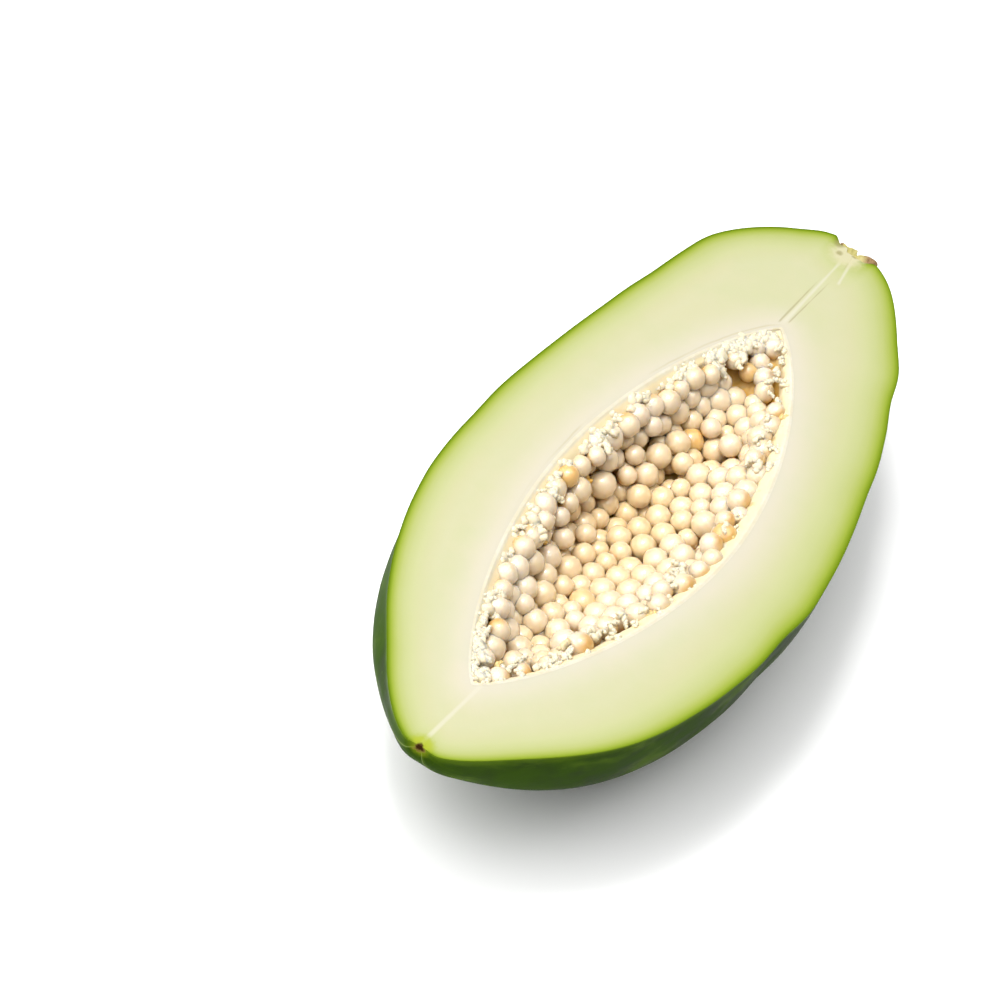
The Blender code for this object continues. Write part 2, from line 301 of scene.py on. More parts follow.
class Modeller:
    """Short names for the modelling operators, each on one chosen object."""

    @staticmethod
    def deselect() -> None:
        """Deselects every object."""
        if bpy.context.object and bpy.context.object.mode != "OBJECT":
            bpy.ops.object.mode_set(mode="OBJECT")
        bpy.ops.object.select_all(action="DESELECT")

    @staticmethod
    def choose(obj: bpy.types.Object) -> None:
        """Selects one object and makes it the active one.

        Args:
            obj: The object.
        """
        Modeller.deselect()
        obj.select_set(True)
        bpy.context.view_layer.objects.active = obj

    @staticmethod
    def settle(obj: bpy.types.Object) -> None:
        """Puts the object's place and turn into its mesh."""
        Modeller.choose(obj)
        bpy.ops.object.transform_apply(location=True, rotation=True, scale=True)

    @staticmethod
    def read(items: bpy.types.bpy_prop_collection, name: str, kind: type, width: int = 1) -> Array:
        """Reads one property of each item of a mesh.

        Args:
            items: The mesh's points, edges, faces or corners.
            name: The property.
            kind: The kind of number.
            width: How many numbers each item has.

        Returns:
            One item a row, or a plain row of numbers where each has one.
        """
        flat = np.empty(len(items) * width, dtype=kind)
        items.foreach_get(name, flat)
        return flat.reshape(-1, width) if width > 1 else flat

    @staticmethod
    def points(obj: bpy.types.Object) -> Array:
        """The mesh's points, one a row."""
        return Modeller.read(obj.data.vertices, "co", float, 3)

    @staticmethod
    def move_points(obj: bpy.types.Object, points: Array) -> None:
        """Puts the mesh's points at new places."""
        obj.data.vertices.foreach_set("co", points.astype(np.float32).ravel())
        obj.data.update()

    @staticmethod
    def face_centres(obj: bpy.types.Object) -> Array:
        """The centre of each face, one a row."""
        return Modeller.read(obj.data.polygons, "center", float, 3)

    @staticmethod
    def mark(obj: bpy.types.Object, name: str, values: Array) -> None:
        """Stores one number for each point, which a material can read."""
        attribute = obj.data.attributes.new(name, "FLOAT", "POINT")
        attribute.data.foreach_set("value", np.asarray(values, dtype=np.float32))

    @staticmethod
    def give_finishes(obj: bpy.types.Object, numbers: Array, count: int) -> None:
        """Makes room for some finishes and gives each face the number of its own.

        Args:
            obj: The object.
            numbers: The finish of each face.
            count: How many finishes there are.
        """
        obj.data.materials.clear()
        for _ in range(count):
            obj.data.materials.append(None)
        obj.data.polygons.foreach_set("material_index", numbers.astype(np.int32))

    @staticmethod
    def pick(obj: bpy.types.Object, kind: str, picked: Array) -> None:
        """Opens an object for editing with some of its faces or edges selected.

        Args:
            obj: The object.
            kind: FACE or EDGE.
            picked: Whether each of them is selected.
        """
        Modeller.choose(obj)
        bpy.ops.object.mode_set(mode="EDIT")
        bpy.ops.mesh.select_mode(type=kind)
        bpy.ops.mesh.select_all(action="DESELECT")
        bpy.ops.object.mode_set(mode="OBJECT")
        items = obj.data.polygons if kind == "FACE" else obj.data.edges
        items.foreach_set("select", picked)
        bpy.ops.object.mode_set(mode="EDIT")

    @staticmethod
    def drop_faces(obj: bpy.types.Object, dropped: Array) -> None:
        """Deletes some faces with the points that only they use.

        Args:
            obj: The object.
            dropped: Whether each face goes.
        """
        Modeller.pick(obj, "FACE", dropped)
        bpy.ops.mesh.delete(type="FACE")
        bpy.ops.object.mode_set(mode="OBJECT")

    @staticmethod
    def apply(obj: bpy.types.Object, kind: str, **settings: object) -> None:
        """Adds one modifier, sets it and applies it.

        Args:
            obj: The object.
            kind: The modifier's type.
            **settings: The modifier's own settings.
        """
        Modeller.choose(obj)
        modifier = obj.modifiers.new(kind.lower(), kind)
        for name, value in settings.items():
            setattr(modifier, name, value)
        bpy.ops.object.modifier_apply(modifier=modifier.name)

    @staticmethod
    def smooth(obj: bpy.types.Object, degrees: float = 180.0) -> None:
        """Shades the mesh smooth, apart from edges sharper than some degrees."""
        Modeller.choose(obj)
        bpy.ops.object.shade_smooth_by_angle(angle=math.radians(degrees))


class Graph:
    """A shader node tree that is built by short calls, each of which returns a socket."""

    def __init__(self, tree: bpy.types.NodeTree) -> None:
        """Starts on an empty node tree."""
        self.tree = tree

    def node(
        self, kind: str, settings: dict[str, object] | None = None, **sockets: object
    ) -> bpy.types.Node:
        """Adds one node.

        Args:
            kind: The node's type name, without its ShaderNode prefix.
            settings: The node's own settings.
            **sockets: Input values or sockets; an underscore stands for a space.

        Returns:
            The node.
        """
        made = self.tree.nodes.new("ShaderNode" + kind)
        for name, value in (settings or {}).items():
            setattr(made, name, value)
        for name, value in sockets.items():
            self.feed(made.inputs[name.replace("_", " ")], value)
        return made

    def feed(self, socket: Socket, value: object) -> None:
        """Links a socket to another, or sets its value."""
        if isinstance(value, Socket):
            self.tree.links.new(value, socket)
        elif socket.type == "RGBA" and len(value) == 3:
            socket.default_value = (*value, 1.0)
        else:
            socket.default_value = value

    def math(self, operation: str, a: object, b: object = 0.0, clamp: bool = False) -> Socket:
        """One sum of two numbers.

        Args:
            operation: The node's operation.
            a: The first number.
            b: The second number.
            clamp: Whether the result is held between 0 and 1.

        Returns:
            The result.
        """
        made = self.node("Math", {"operation": operation, "use_clamp": clamp})
        self.feed(made.inputs[0], a)
        self.feed(made.inputs[1], b)
        return made.outputs[0]

    def times(self, a: object, b: object) -> Socket:
        """One number times another."""
        return self.math("MULTIPLY", a, b)

    def plus(self, a: object, b: object, clamp: bool = False) -> Socket:
        """Two numbers added."""
        return self.math("ADD", a, b, clamp)

    def vector(self, operation: str, a: object, b: object = (0, 0, 0)) -> Socket:
        """One sum of two vectors; its number output for a dot product, distance or length.

        Args:
            operation: The node's operation.
            a: The first vector.
            b: The second vector.

        Returns:
            The result.
        """
        made = self.node("VectorMath", {"operation": operation})
        self.feed(made.inputs[0], a)
        self.feed(made.inputs[1], b)
        number = operation in ("DOT_PRODUCT", "DISTANCE", "LENGTH")
        return made.outputs["Value" if number else "Vector"]

    def mix(self, factor: object, a: object, b: object) -> Socket:
        """Mixes two colours.

        Args:
            factor: How much of the second colour shows.
            a: The first colour.
            b: The second colour.

        Returns:
            The mixed colour.
        """
        made = self.node("Mix", {"data_type": "RGBA"})
        self.feed(made.inputs[0], factor)
        self.feed(made.inputs[6], a)
        self.feed(made.inputs[7], b)
        return made.outputs[2]

    def rescale(
        self, value: object, low: float, high: float, to_low: float = 0.0, to_high: float = 1.0
    ) -> Socket:
        """Maps a range of a number smoothly to another range.

        Args:
            value: The number.
            low: Where the range starts.
            high: Where it ends.
            to_low: The result at its start.
            to_high: The result at its end.

        Returns:
            The result.
        """
        made = self.node(
            "MapRange",
            {"interpolation_type": "SMOOTHSTEP"},
            Value=value,
            From_Min=low,
            From_Max=high,
            To_Min=to_low,
            To_Max=to_high,
        )
        return made.outputs[0]

    def ramp(self, value: object, stops: Sequence[tuple[float, Colour]]) -> Socket:
        """A colour that follows a number through some stops.

        Args:
            value: The number, from 0 to 1.
            stops: Numbers with their colours.

        Returns:
            The colour.
        """
        made = self.node("ValToRGB", Fac=value)
        elements = made.color_ramp.elements
        while len(elements) < len(stops):
            elements.new(1.0)
        for element, (place, colour) in zip(elements, stops):
            element.position = place
            element.color = (*colour, 1.0)
        return made.outputs[0]

    def object_place(self) -> Socket:
        """The place on the object, in metres."""
        return self.node("TexCoord").outputs["Object"]

    def noise(
        self, scale: object, detail: float = 2.0, vector: object = None, roughness: float = 0.5
    ) -> Socket:
        """A soft random number from 0 to 1; scale is in repeats a metre.

        Args:
            scale: Repeats a metre.
            detail: How many finer layers it has.
            vector: Where it is read; without one, at the place on the object.
            roughness: How strong the finer layers are.

        Returns:
            The number.
        """
        where = self.object_place() if vector is None else vector
        made = self.node("TexNoise", Vector=where, Scale=scale, Detail=detail, Roughness=roughness)
        return made.outputs["Fac"]

    def stray(self, scale: object, detail: float, reach: object) -> Socket:
        """A soft random number about 0, at most half the reach away from it."""
        return self.times(self.math("SUBTRACT", self.noise(scale, detail), 0.5), reach)

    def stored(self, name: str) -> Socket:
        """A number stored on the mesh."""
        return self.node("Attribute", {"attribute_name": name}).outputs["Fac"]

    def group(self, tree: bpy.types.NodeTree, **sockets: object) -> bpy.types.Node:
        """Places a node group with its own values.

        Args:
            tree: The node group.
            **sockets: Input values or sockets; an underscore stands for a space.

        Returns:
            The group's node.
        """
        made = self.tree.nodes.new("ShaderNodeGroup")
        made.node_tree = tree
        for name, value in sockets.items():
            self.feed(made.inputs[name.replace("_", " ")], value)
        return made

    def bump(self, height: object, strength: float, distance: float) -> Socket:
        """A normal bent by a height; distance is in metres."""
        return self.node("Bump", Height=height, Strength=strength, Distance=distance).outputs[0]


class Effects:
    """Node groups that several finishes share, each built once."""

    _made: dict[str, bpy.types.NodeTree] = {}

    @classmethod
    def _group(
        cls,
        name: str,
        inputs: Sequence[tuple[str, str, object]],
        outputs: Sequence[tuple[str, str]],
        build: Callable[[Graph, bpy.types.Node], Sequence[object]],
    ) -> bpy.types.NodeTree:
        """Makes a node group once.

        Args:
            name: The group's name.
            inputs: Name, kind and default value of each input.
            outputs: Name and kind of each output.
            build: Adds the group's nodes and returns one socket for each output.

        Returns:
            The group's node tree.
        """
        if name in cls._made:
            return cls._made[name]
        tree = bpy.data.node_groups.new(name, "ShaderNodeTree")
        for label, kind, value in inputs:
            socket = tree.interface.new_socket(label, in_out="INPUT", socket_type="NodeSocket" + kind)
            socket.default_value = (*value, 1.0) if kind == "Color" else value
        for label, kind in outputs:
            tree.interface.new_socket(label, in_out="OUTPUT", socket_type="NodeSocket" + kind)
        graph = Graph(tree)
        source = tree.nodes.new("NodeGroupInput")
        sink = tree.nodes.new("NodeGroupOutput")
        for (label, _), socket in zip(outputs, build(graph, source)):
            tree.links.new(socket, sink.inputs[label])
        cls._made[name] = tree
        return tree

    @classmethod
    def mottle(cls) -> bpy.types.NodeTree:
        """Two tones of a colour in soft blotches of two sizes, for grown surfaces.

        Returns:
            The node group.
        """

        def build(graph: Graph, source: bpy.types.Node) -> Sequence[object]:
            """Adds the nodes that blend two sizes of noise.

            Args:
                graph: The group's graph.
                source: The group's input node.

            Returns:
                The colour and the mask.
            """
            wide = graph.noise(source.outputs["Scale"], 3.0, roughness=0.6)
            fine = graph.noise(graph.times(source.outputs["Scale"], 6.0), 2.0)
            both = graph.plus(graph.times(wide, 0.7), graph.times(fine, 0.3))
            mask = graph.rescale(both, 0.38, 0.62)
            amount = graph.times(mask, source.outputs["Amount"])
            return graph.mix(amount, source.outputs["Base"], source.outputs["Other"]), mask

        grey = (0.5, 0.5, 0.5)
        inputs = (
            ("Base", "Color", grey),
            ("Other", "Color", grey),
            ("Scale", "Float", 40.0),
            ("Amount", "Float", 0.5),
        )
        return cls._group("Mottle", inputs, (("Colour", "Color"), ("Mask", "Float")), build)

    @classmethod
    def spot(cls) -> bpy.types.NodeTree:
        """1 at a place on the object, 0 past a radius, with a ragged edge.

        Returns:
            The node group.
        """

        def build(graph: Graph, source: bpy.types.Node) -> Sequence[object]:
            """Adds the nodes that measure the distance from the middle.

            Args:
                graph: The group's graph.
                source: The group's input node.

            Returns:
                The mask.
            """
            away = graph.vector("DISTANCE", graph.object_place(), source.outputs["Centre"])
            ragged = graph.stray(900.0, 2.0, source.outputs["Ragged"])
            share = graph.math("DIVIDE", graph.plus(away, ragged), source.outputs["Radius"])
            return (graph.rescale(share, 1.0, 0.35),)

        inputs = (("Centre", "Vector", (0, 0, 0)), ("Radius", "Float", 0.002), ("Ragged", "Float", 0.001))
        return cls._group("Spot", inputs, (("Mask", "Float"),), build)

    @classmethod
    def strand(cls) -> bpy.types.NodeTree:
        """A thin wavy line between two places on the object, fading at its far end.

        Returns:
            The node group.
        """

        def build(graph: Graph, source: bpy.types.Node) -> Sequence[object]:
            """Adds the nodes that measure the distance from the line.

            Args:
                graph: The group's graph.
                source: The group's input node.

            Returns:
                The mask.
            """
            start, end = source.outputs["Start"], source.outputs["End"]
            wave = graph.stray(70.0, 2.0, source.outputs["Wave"])
            run = graph.vector("SUBTRACT", end, start)
            from_start = graph.vector("SUBTRACT", graph.object_place(), start)
            length = graph.vector("LENGTH", run)
            heading = graph.vector("NORMALIZE", run)
            reach = graph.vector("DOT_PRODUCT", from_start, heading)
            across = graph.vector("LENGTH", graph.vector("CROSS_PRODUCT", from_start, heading))
            line = graph.math("ABSOLUTE", graph.plus(across, wave))
            near = graph.rescale(graph.math("DIVIDE", line, source.outputs["Width"]), 1.0, 0.2)
            share = graph.math("DIVIDE", reach, length)
            fade = graph.times(graph.rescale(share, -0.02, 0.04), graph.rescale(share, 1.0, 0.6))
            return (graph.times(near, fade),)

        inputs = (
            ("Start", "Vector", (0, 0, 0)),
            ("End", "Vector", (0, 0, 0)),
            ("Width", "Float", 0.0003),
            ("Wave", "Float", 0.0006),
        )
        return cls._group("Strand", inputs, (("Mask", "Float"),), build)

    @classmethod
    def relief(cls) -> bpy.types.NodeTree:
        """Fine uneven height of moist or waxy tissue.

        Returns:
            The node group.
        """

        def build(graph: Graph, source: bpy.types.Node) -> Sequence[object]:
            """Adds the nodes that blend two sizes of noise.

            Args:
                graph: The group's graph.
                source: The group's input node.

            Returns:
                The height.
            """
            scale = source.outputs["Scale"]
            wide = graph.times(graph.noise(scale, 2.0), 0.65)
            fine = graph.times(graph.noise(graph.times(scale, 5.0), 3.0), 0.35)
            return (graph.plus(wide, fine),)

        return cls._group("Relief", (("Scale", "Float", 300.0),), (("Height", "Float"),), build)


@dataclass(frozen=True)
class Finish:
    """What every finish of the fruit has: a name, gloss and a little light passing through.

    Attributes:
        relief: Repeats a metre, strength and height of the fine unevenness.
    """

    name: str
    roughness: float
    coat: float = 0.0
    coat_roughness: float = 0.1
    coat_ior: float = 1.5
    specular: float = 0.5
    specular_tint: Colour = (1.0, 1.0, 1.0)
    through: float = 0.0
    through_depth: float = 1.0 * MM
    through_colour: Colour = (1.0, 0.75, 0.4)
    relief: tuple[float, float, float] = (300.0, 0.2, 0.2 * MM)

    def start(self) -> tuple[bpy.types.Material, Graph, bpy.types.Node]:
        """Makes the material with its constant values set.

        Returns:
            The material, its graph and its Principled shader.
        """
        material = bpy.data.materials.new(self.name)
        material.use_nodes = True
        shader = material.node_tree.nodes["Principled BSDF"]
        values = {
            "Roughness": self.roughness,
            "Coat Weight": self.coat,
            "Coat Roughness": self.coat_roughness,
            "Coat IOR": self.coat_ior,
            "Specular IOR Level": self.specular,
            "Specular Tint": (*self.specular_tint, 1.0),
            "Subsurface Weight": self.through,
            "Subsurface Scale": self.through_depth,
            "Subsurface Radius": self.through_colour,
        }
        for name, value in values.items():
            shader.inputs[name].default_value = value
        return material, Graph(material.node_tree), shader

    def _spot(
        self,
        graph: Graph,
        under: Socket,
        tone: Colour,
        centre: Place,
        sizes: tuple[float, float],
        share: float = 1.0,
    ) -> tuple[Socket, Socket]:
        """Lays a spot with a ragged edge over a colour.

        Args:
            graph: The material's graph.
            under: The colour under the spot.
            tone: The spot's own colour.
            centre: Its middle.
            sizes: Its radius and how ragged its edge is.
            share: How much the spot covers.

        Returns:
            The new colour, and where the spot lies.
        """
        radius, ragged = sizes
        mask = graph.group(Effects.spot(), Centre=centre, Radius=radius, Ragged=ragged).outputs[0]
        covered = mask if share == 1 else graph.times(mask, share)
        return graph.mix(covered, under, tone), mask

    def _roughen(self, graph: Graph, shader: bpy.types.Node, sunken: Socket | None = None) -> None:
        """Gives the surface its fine relief, lowered where something is sunken.

        Args:
            graph: The material's graph.
            shader: Its shader.
            sunken: How far each place is sunken.
        """
        scale, strength, distance = self.relief
        height = graph.group(Effects.relief(), Scale=scale).outputs[0]
        if sunken is not None:
            height = graph.math("SUBTRACT", height, sunken)
        graph.feed(shader.inputs["Normal"], graph.bump(height, strength, distance))

    def material(self) -> bpy.types.Material:
        """Makes the finished material."""
        raise NotImplementedError


@dataclass(frozen=True)
class SkinFinish(Finish):
    """Waxy dark green skin with paler lengthwise streaks, the blossom scar and a dry stem pit.

    Attributes:
        scar: Where the blossom fell off.
        stem: The middle of the stem pit.
        dry_sizes: Radius of the dry skin there and how ragged its edge is; the same for the
            scar's halo, crust and pit.
        ragged_edge: How far the pale band below the cut strays.
        pale_band: Depths below the cut where that band ends and where it is full.
        thin_band: The same for the thin bright edge.
    """

    scar: Place = (0, 0, 0)
    stem: Place = (0, 0, 0)
    deep: Colour = seen(40, 64, 2)
    mid: Colour = seen(62, 94, 5)
    pale: Colour = seen(96, 128, 16)
    edge: Colour = seen(116, 146, 22)
    furrow: Colour = seen(160, 180, 104)
    crust: Colour = seen(160, 134, 72)
    pit: Colour = seen(66, 42, 16)
    halo: Colour = seen(172, 192, 34)
    dry: Colour = seen(120, 92, 44)
    dry_sizes: tuple[float, float] = (8.5 * MM, 3.0 * MM)
    halo_sizes: tuple[float, float] = (3.4 * MM, 2.0 * MM)
    crust_sizes: tuple[float, float] = (2.0 * MM, 2.6 * MM)
    pit_sizes: tuple[float, float] = (1.5 * MM, 1.8 * MM)
    ragged_edge: float = 2.4 * MM
    pale_band: tuple[float, float] = (3.0 * MM, 0.6 * MM)
    thin_band: tuple[float, float] = (0.9 * MM, 0.1 * MM)
    relief: tuple[float, float, float] = (260.0, 0.35, 0.25 * MM)

    def material(self) -> bpy.types.Material:
        """Makes the skin's material.

        Returns:
            The material.
        """
        material, graph, shader = self.start()
        along, around = graph.stored("along"), graph.stored("around")
        lengthwise, sideways = graph.times(along, 2.2), graph.times(around, 5.0)
        place = graph.node("CombineXYZ", X=lengthwise, Y=sideways)
        streak = graph.noise(2.6, 4.0, place.outputs[0], 0.62)
        blotch = graph.group(Effects.mottle(), Base=self.deep, Other=self.mid, Scale=26.0, Amount=1.0)
        streaks = graph.rescale(streak, 0.50, 0.68, 0.0, 0.7)
        colour = graph.mix(streaks, blotch.outputs["Colour"], self.pale)
        flecks = graph.rescale(graph.noise(420.0, 2.0), 0.66, 0.74, 0.0, 0.28)
        colour = graph.mix(flecks, colour, self.pale)
        rib = graph.math("COSINE", graph.times(around, 2 * math.pi * 5))
        near_tip = graph.rescale(along, -0.8, -0.98)
        groove = graph.times(graph.rescale(rib, -0.97, -1.0), near_tip)
        colour = graph.mix(graph.times(groove, 0.6), colour, self.furrow)
        below = graph.plus(graph.stored("below_cut"), graph.stray(140.0, 3.0, self.ragged_edge))
        colour = graph.mix(graph.rescale(below, *self.pale_band, 0.0, 0.5), colour, self.pale)
        thin_edge = graph.rescale(graph.stored("below_cut"), *self.thin_band, 0.0, 0.9)
        colour = graph.mix(thin_edge, colour, self.edge)
        colour, dry = self._spot(graph, colour, self.dry, self.stem, self.dry_sizes)
        colour, _ = self._spot(graph, colour, self.halo, self.scar, self.halo_sizes, 0.5)
        colour, crust = self._spot(graph, colour, self.crust, self.scar, self.crust_sizes)
        colour, _ = self._spot(graph, colour, self.pit, self.scar, self.pit_sizes)
        graph.feed(shader.inputs["Base Color"], colour)
        worn = graph.rescale(blotch.outputs["Mask"], 0.0, 1.0, self.roughness - 0.05, self.roughness + 0.1)
        dull = graph.math("MAXIMUM", crust, dry)
        rough = graph.plus(worn, graph.times(dull, 0.45), clamp=True)
        graph.feed(shader.inputs["Roughness"], rough)
        self._roughen(graph, shader)
        return material


@dataclass(frozen=True)
class FleshFinish(Finish):
    """Moist unripe flesh: green under the skin, pale inside and almost white at the hollow.

    Attributes:
        scar: The middle of the green flesh where the blossom fell off.
        scar_core_place: The brown core of that scar.
        stem: Where the stem's fibres enter the flesh.
        fibres: Thin grey strands in the flesh by the stem, and one olive line of painted shade along the side
            of the pale bundle there, each with its two ends.
        pale_lines: Paler lines with their two ends.
        pit_shades: Olive spots of painted shade in small hollows by the stem, each with its radius.
        green_stops: Distance from the skin in millimetres and the colour there.
        rim_stops: Distance from the hollow in millimetres and the colour there.
        bridge_sizes: Radius of the pale flesh at the stem and how ragged its edge is; the same
            for the scar's halo and core.
        wander: How far the colours' borders stray.
        wander_depths: Depths in the green where they start to stray and where they do so fully.
        tint_depths: The same for the flesh's warm and cool tones.
        crease_place: Distance from the hollow of a fine fold, a slight dip in the relief whose shade is
            painted as a darker line.
        crease_width: Distances from its middle where it ends and where it is full.
    """

    scar: Place = (0, 0, 0)
    scar_core_place: Place = (0, 0, 0)
    stem: Place = (0, 0, 0)
    fibres: tuple[tuple[Place, Place], ...] = ()
    pale_lines: tuple[tuple[Place, Place], ...] = ()
    pit_shades: tuple[tuple[Place, float], ...] = ()
    green_stops: tuple[tuple[float, Colour], ...] = (
        (0.0, seen(84, 116, 3)),
        (0.35, seen(112, 142, 12)),
        (0.8, seen(148, 174, 40)),
        (1.3, seen(175, 195, 72)),
        (2.0, seen(192, 206, 103)),
        (3.0, seen(207, 216, 134)),
        (4.5, seen(217, 223, 155)),
        (6.5, seen(225, 228, 169)),
        (9.0, seen(230, 229, 178)),
        (12.0, seen(233, 232, 186)),
    )
    rim_stops: tuple[tuple[float, Colour], ...] = (
        (0.0, seen(250, 241, 222)),
        (1.5, seen(248, 240, 220)),
        (3.0, seen(247, 239, 215)),
        (5.0, seen(243, 237, 208)),
        (9.0, seen(238, 234, 198)),
        (13.5, seen(234, 231, 187)),
    )
    fibre: Colour = seen(186, 180, 132)
    bright: Colour = seen(252, 247, 224)
    halo: Colour = seen(196, 208, 60)
    # Painted shade of the fine fold by the hollow's rim.
    bridge: Colour = seen(240, 234, 190)
    crease_shade: Colour = seen(214, 198, 152)
    warm: Colour = seen(240, 232, 196)
    cool: Colour = seen(220, 228, 176)
    scar_core: Colour = seen(84, 60, 22)
    # Painted shade in small hollows by the stem.
    pit: Colour = seen(150, 142, 60)
    bridge_sizes: tuple[float, float] = (6.5 * MM, 2.0 * MM)
    halo_sizes: tuple[float, float] = (3.8 * MM, 1.6 * MM)
    core_sizes: tuple[float, float] = (1.4 * MM, 1.6 * MM)
    pit_ragged: float = 0.8 * MM
    wander: float = 1.8 * MM
    wander_depths: tuple[float, float] = (0.5 * MM, 5 * MM)
    tint_depths: tuple[float, float] = (4 * MM, 12 * MM)
    crease_place: float = 1.3 * MM
    crease_width: tuple[float, float] = (0.45 * MM, 0.05 * MM)
    fibre_width: float = 0.38 * MM
    fibre_wave: float = 0.9 * MM
    pale_width: float = 0.8 * MM
    pale_wave: float = 1.0 * MM
    relief: tuple[float, float, float] = (180.0, 0.16, 0.3 * MM)

    def _by_distance(
        self, graph: Graph, distance: object, stops: Sequence[tuple[float, Colour]]
    ) -> Socket:
        """A colour that follows a distance through stops given in millimetres.

        Args:
            graph: The material's graph.
            distance: The distance in metres.
            stops: Distances in millimetres with their colours.

        Returns:
            The colour.
        """
        far = stops[-1][0] * MM
        shares = [(place * MM / far, colour) for place, colour in stops]
        return graph.ramp(graph.math("DIVIDE", distance, far), shares)

    def _lines(
        self, graph: Graph, ends: Sequence[tuple[Place, Place]], width: float, wave: float
    ) -> Socket:
        """Where some strands lie.

        Args:
            graph: The material's graph.
            ends: Both ends of each strand.
            width: Distance from a strand's middle where it ends.
            wave: How far the strands stray.

        Returns:
            1 on a strand and 0 away from all of them.
        """
        mask = 0.0
        for start, end in ends:
            made = graph.group(Effects.strand(), Start=start, End=end, Width=width, Wave=wave)
            mask = graph.math("MAXIMUM", mask, made.outputs[0])
        return mask

    def material(self) -> bpy.types.Material:
        """Makes the flesh's material.

        Returns:
            The material.
        """
        material, graph, shader = self.start()
        wander = graph.stray(55.0, 3.0, self.wander)
        green = graph.stored("green_depth")
        astray = graph.times(wander, graph.rescale(green, *self.wander_depths))
        outer = graph.plus(green, astray)
        colour = self._by_distance(graph, outer, self.green_stops)
        from_hollow = graph.stored("from_hollow")
        inner = graph.math("MAXIMUM", graph.plus(from_hollow, wander), 0.0)
        rim = self._by_distance(graph, inner, self.rim_stops)
        colour = graph.mix(graph.rescale(inner, self.rim_stops[-1][0] * MM, 2 * MM), colour, rim)
        tones = graph.group(Effects.mottle(), Base=self.warm, Other=self.cool, Scale=24.0, Amount=1.0)
        tint = graph.times(graph.rescale(green, *self.tint_depths), 0.25)
        colour = graph.mix(tint, colour, tones.outputs["Colour"])
        # A fine fold by the hollow's rim: a dip in the relief, with its shade painted as a darker line.
        from_rim = graph.plus(from_hollow, wander)
        middle = graph.math("ABSOLUTE", graph.math("SUBTRACT", from_rim, self.crease_place))
        uneven = graph.rescale(graph.noise(60.0, 2.0), 0.4, 0.6)
        crease_shade = graph.times(graph.rescale(middle, *self.crease_width), uneven)
        crease_shade = graph.times(crease_shade, graph.stored("far_stem"))
        colour = graph.mix(graph.times(crease_shade, 0.35), colour, self.crease_shade)
        # Grey strands of fibre, and one olive line of painted shade beside the pale bundle at the stem.
        dark = self._lines(graph, self.fibres, self.fibre_width, self.fibre_wave)
        pale = self._lines(graph, self.pale_lines, self.pale_width, self.pale_wave)
        colour = graph.mix(graph.times(pale, 0.6), colour, self.bright)
        colour = graph.mix(graph.times(dark, 0.55), colour, self.fibre)
        colour, _ = self._spot(graph, colour, self.bridge, self.stem, self.bridge_sizes)
        # Painted shade: olive spots where small hollows lie by the stem.
        for place, radius in self.pit_shades:
            colour, _ = self._spot(graph, colour, self.pit, place, (radius, self.pit_ragged), 0.55)
        colour, _ = self._spot(graph, colour, self.halo, self.scar, self.halo_sizes, 0.85)
        colour, _ = self._spot(graph, colour, self.scar_core, self.scar_core_place, self.core_sizes)
        graph.feed(shader.inputs["Base Color"], colour)
        self._roughen(graph, shader, graph.times(graph.plus(dark, crease_shade, clamp=True), 0.8))
        damp = graph.rescale(tones.outputs["Mask"], 0.0, 1.0, self.roughness - 0.04, self.roughness + 0.08)
        graph.feed(shader.inputs["Roughness"], damp)
        return material


@dataclass(frozen=True)
class SeedFinish(Finish):
    """Wet pearly seeds in cream tones, a few amber, with golden shade painted on the deeper seeds and on each
    seed's side towards the bed.
    """

    pearl: Colour = seen(290, 271, 244)
    cream: Colour = seen(284, 259, 216)
    # Painted shade: the warmer colour of the deeper seeds.
    shaded: Colour = seen(299, 258, 186)
    amber: Colour = seen(282, 226, 126)
    # Painted shade: the golden colour of each seed's side towards the bed.
    root: Colour = seen(268, 208, 110)
    relief: tuple[float, float, float] = (620.0, 0.12, 0.12 * MM)

    def material(self) -> bpy.types.Material:
        """Makes the seeds' material.

        Returns:
            The material.
        """
        material, graph, shader = self.start()
        tone, sunk, root_side_shade = graph.stored("tone"), graph.stored("sunk"), graph.stored("root_side_shade")
        clouded = graph.group(Effects.mottle(), Base=self.pearl, Other=self.cream, Scale=330.0, Amount=0.45)
        colour = graph.mix(graph.rescale(tone, 0.1, 0.9, 0.0, 0.7), clouded.outputs["Colour"], self.cream)
        # Painted shade: deeper seeds turn warmer and golden.
        colour = graph.mix(graph.rescale(sunk, 0.15, 0.95, 0.0, 0.65), colour, self.shaded)
        colour = graph.mix(graph.rescale(tone, 0.982, 0.995, 0.0, 0.8), colour, self.amber)
        # Painted shade: each seed turns golden on its side towards the bed.
        colour = graph.mix(graph.rescale(root_side_shade, 0.45, 0.95, 0.0, 0.9), colour, self.root)
        graph.feed(shader.inputs["Base Color"], colour)
        self._roughen(graph, shader)
        return material


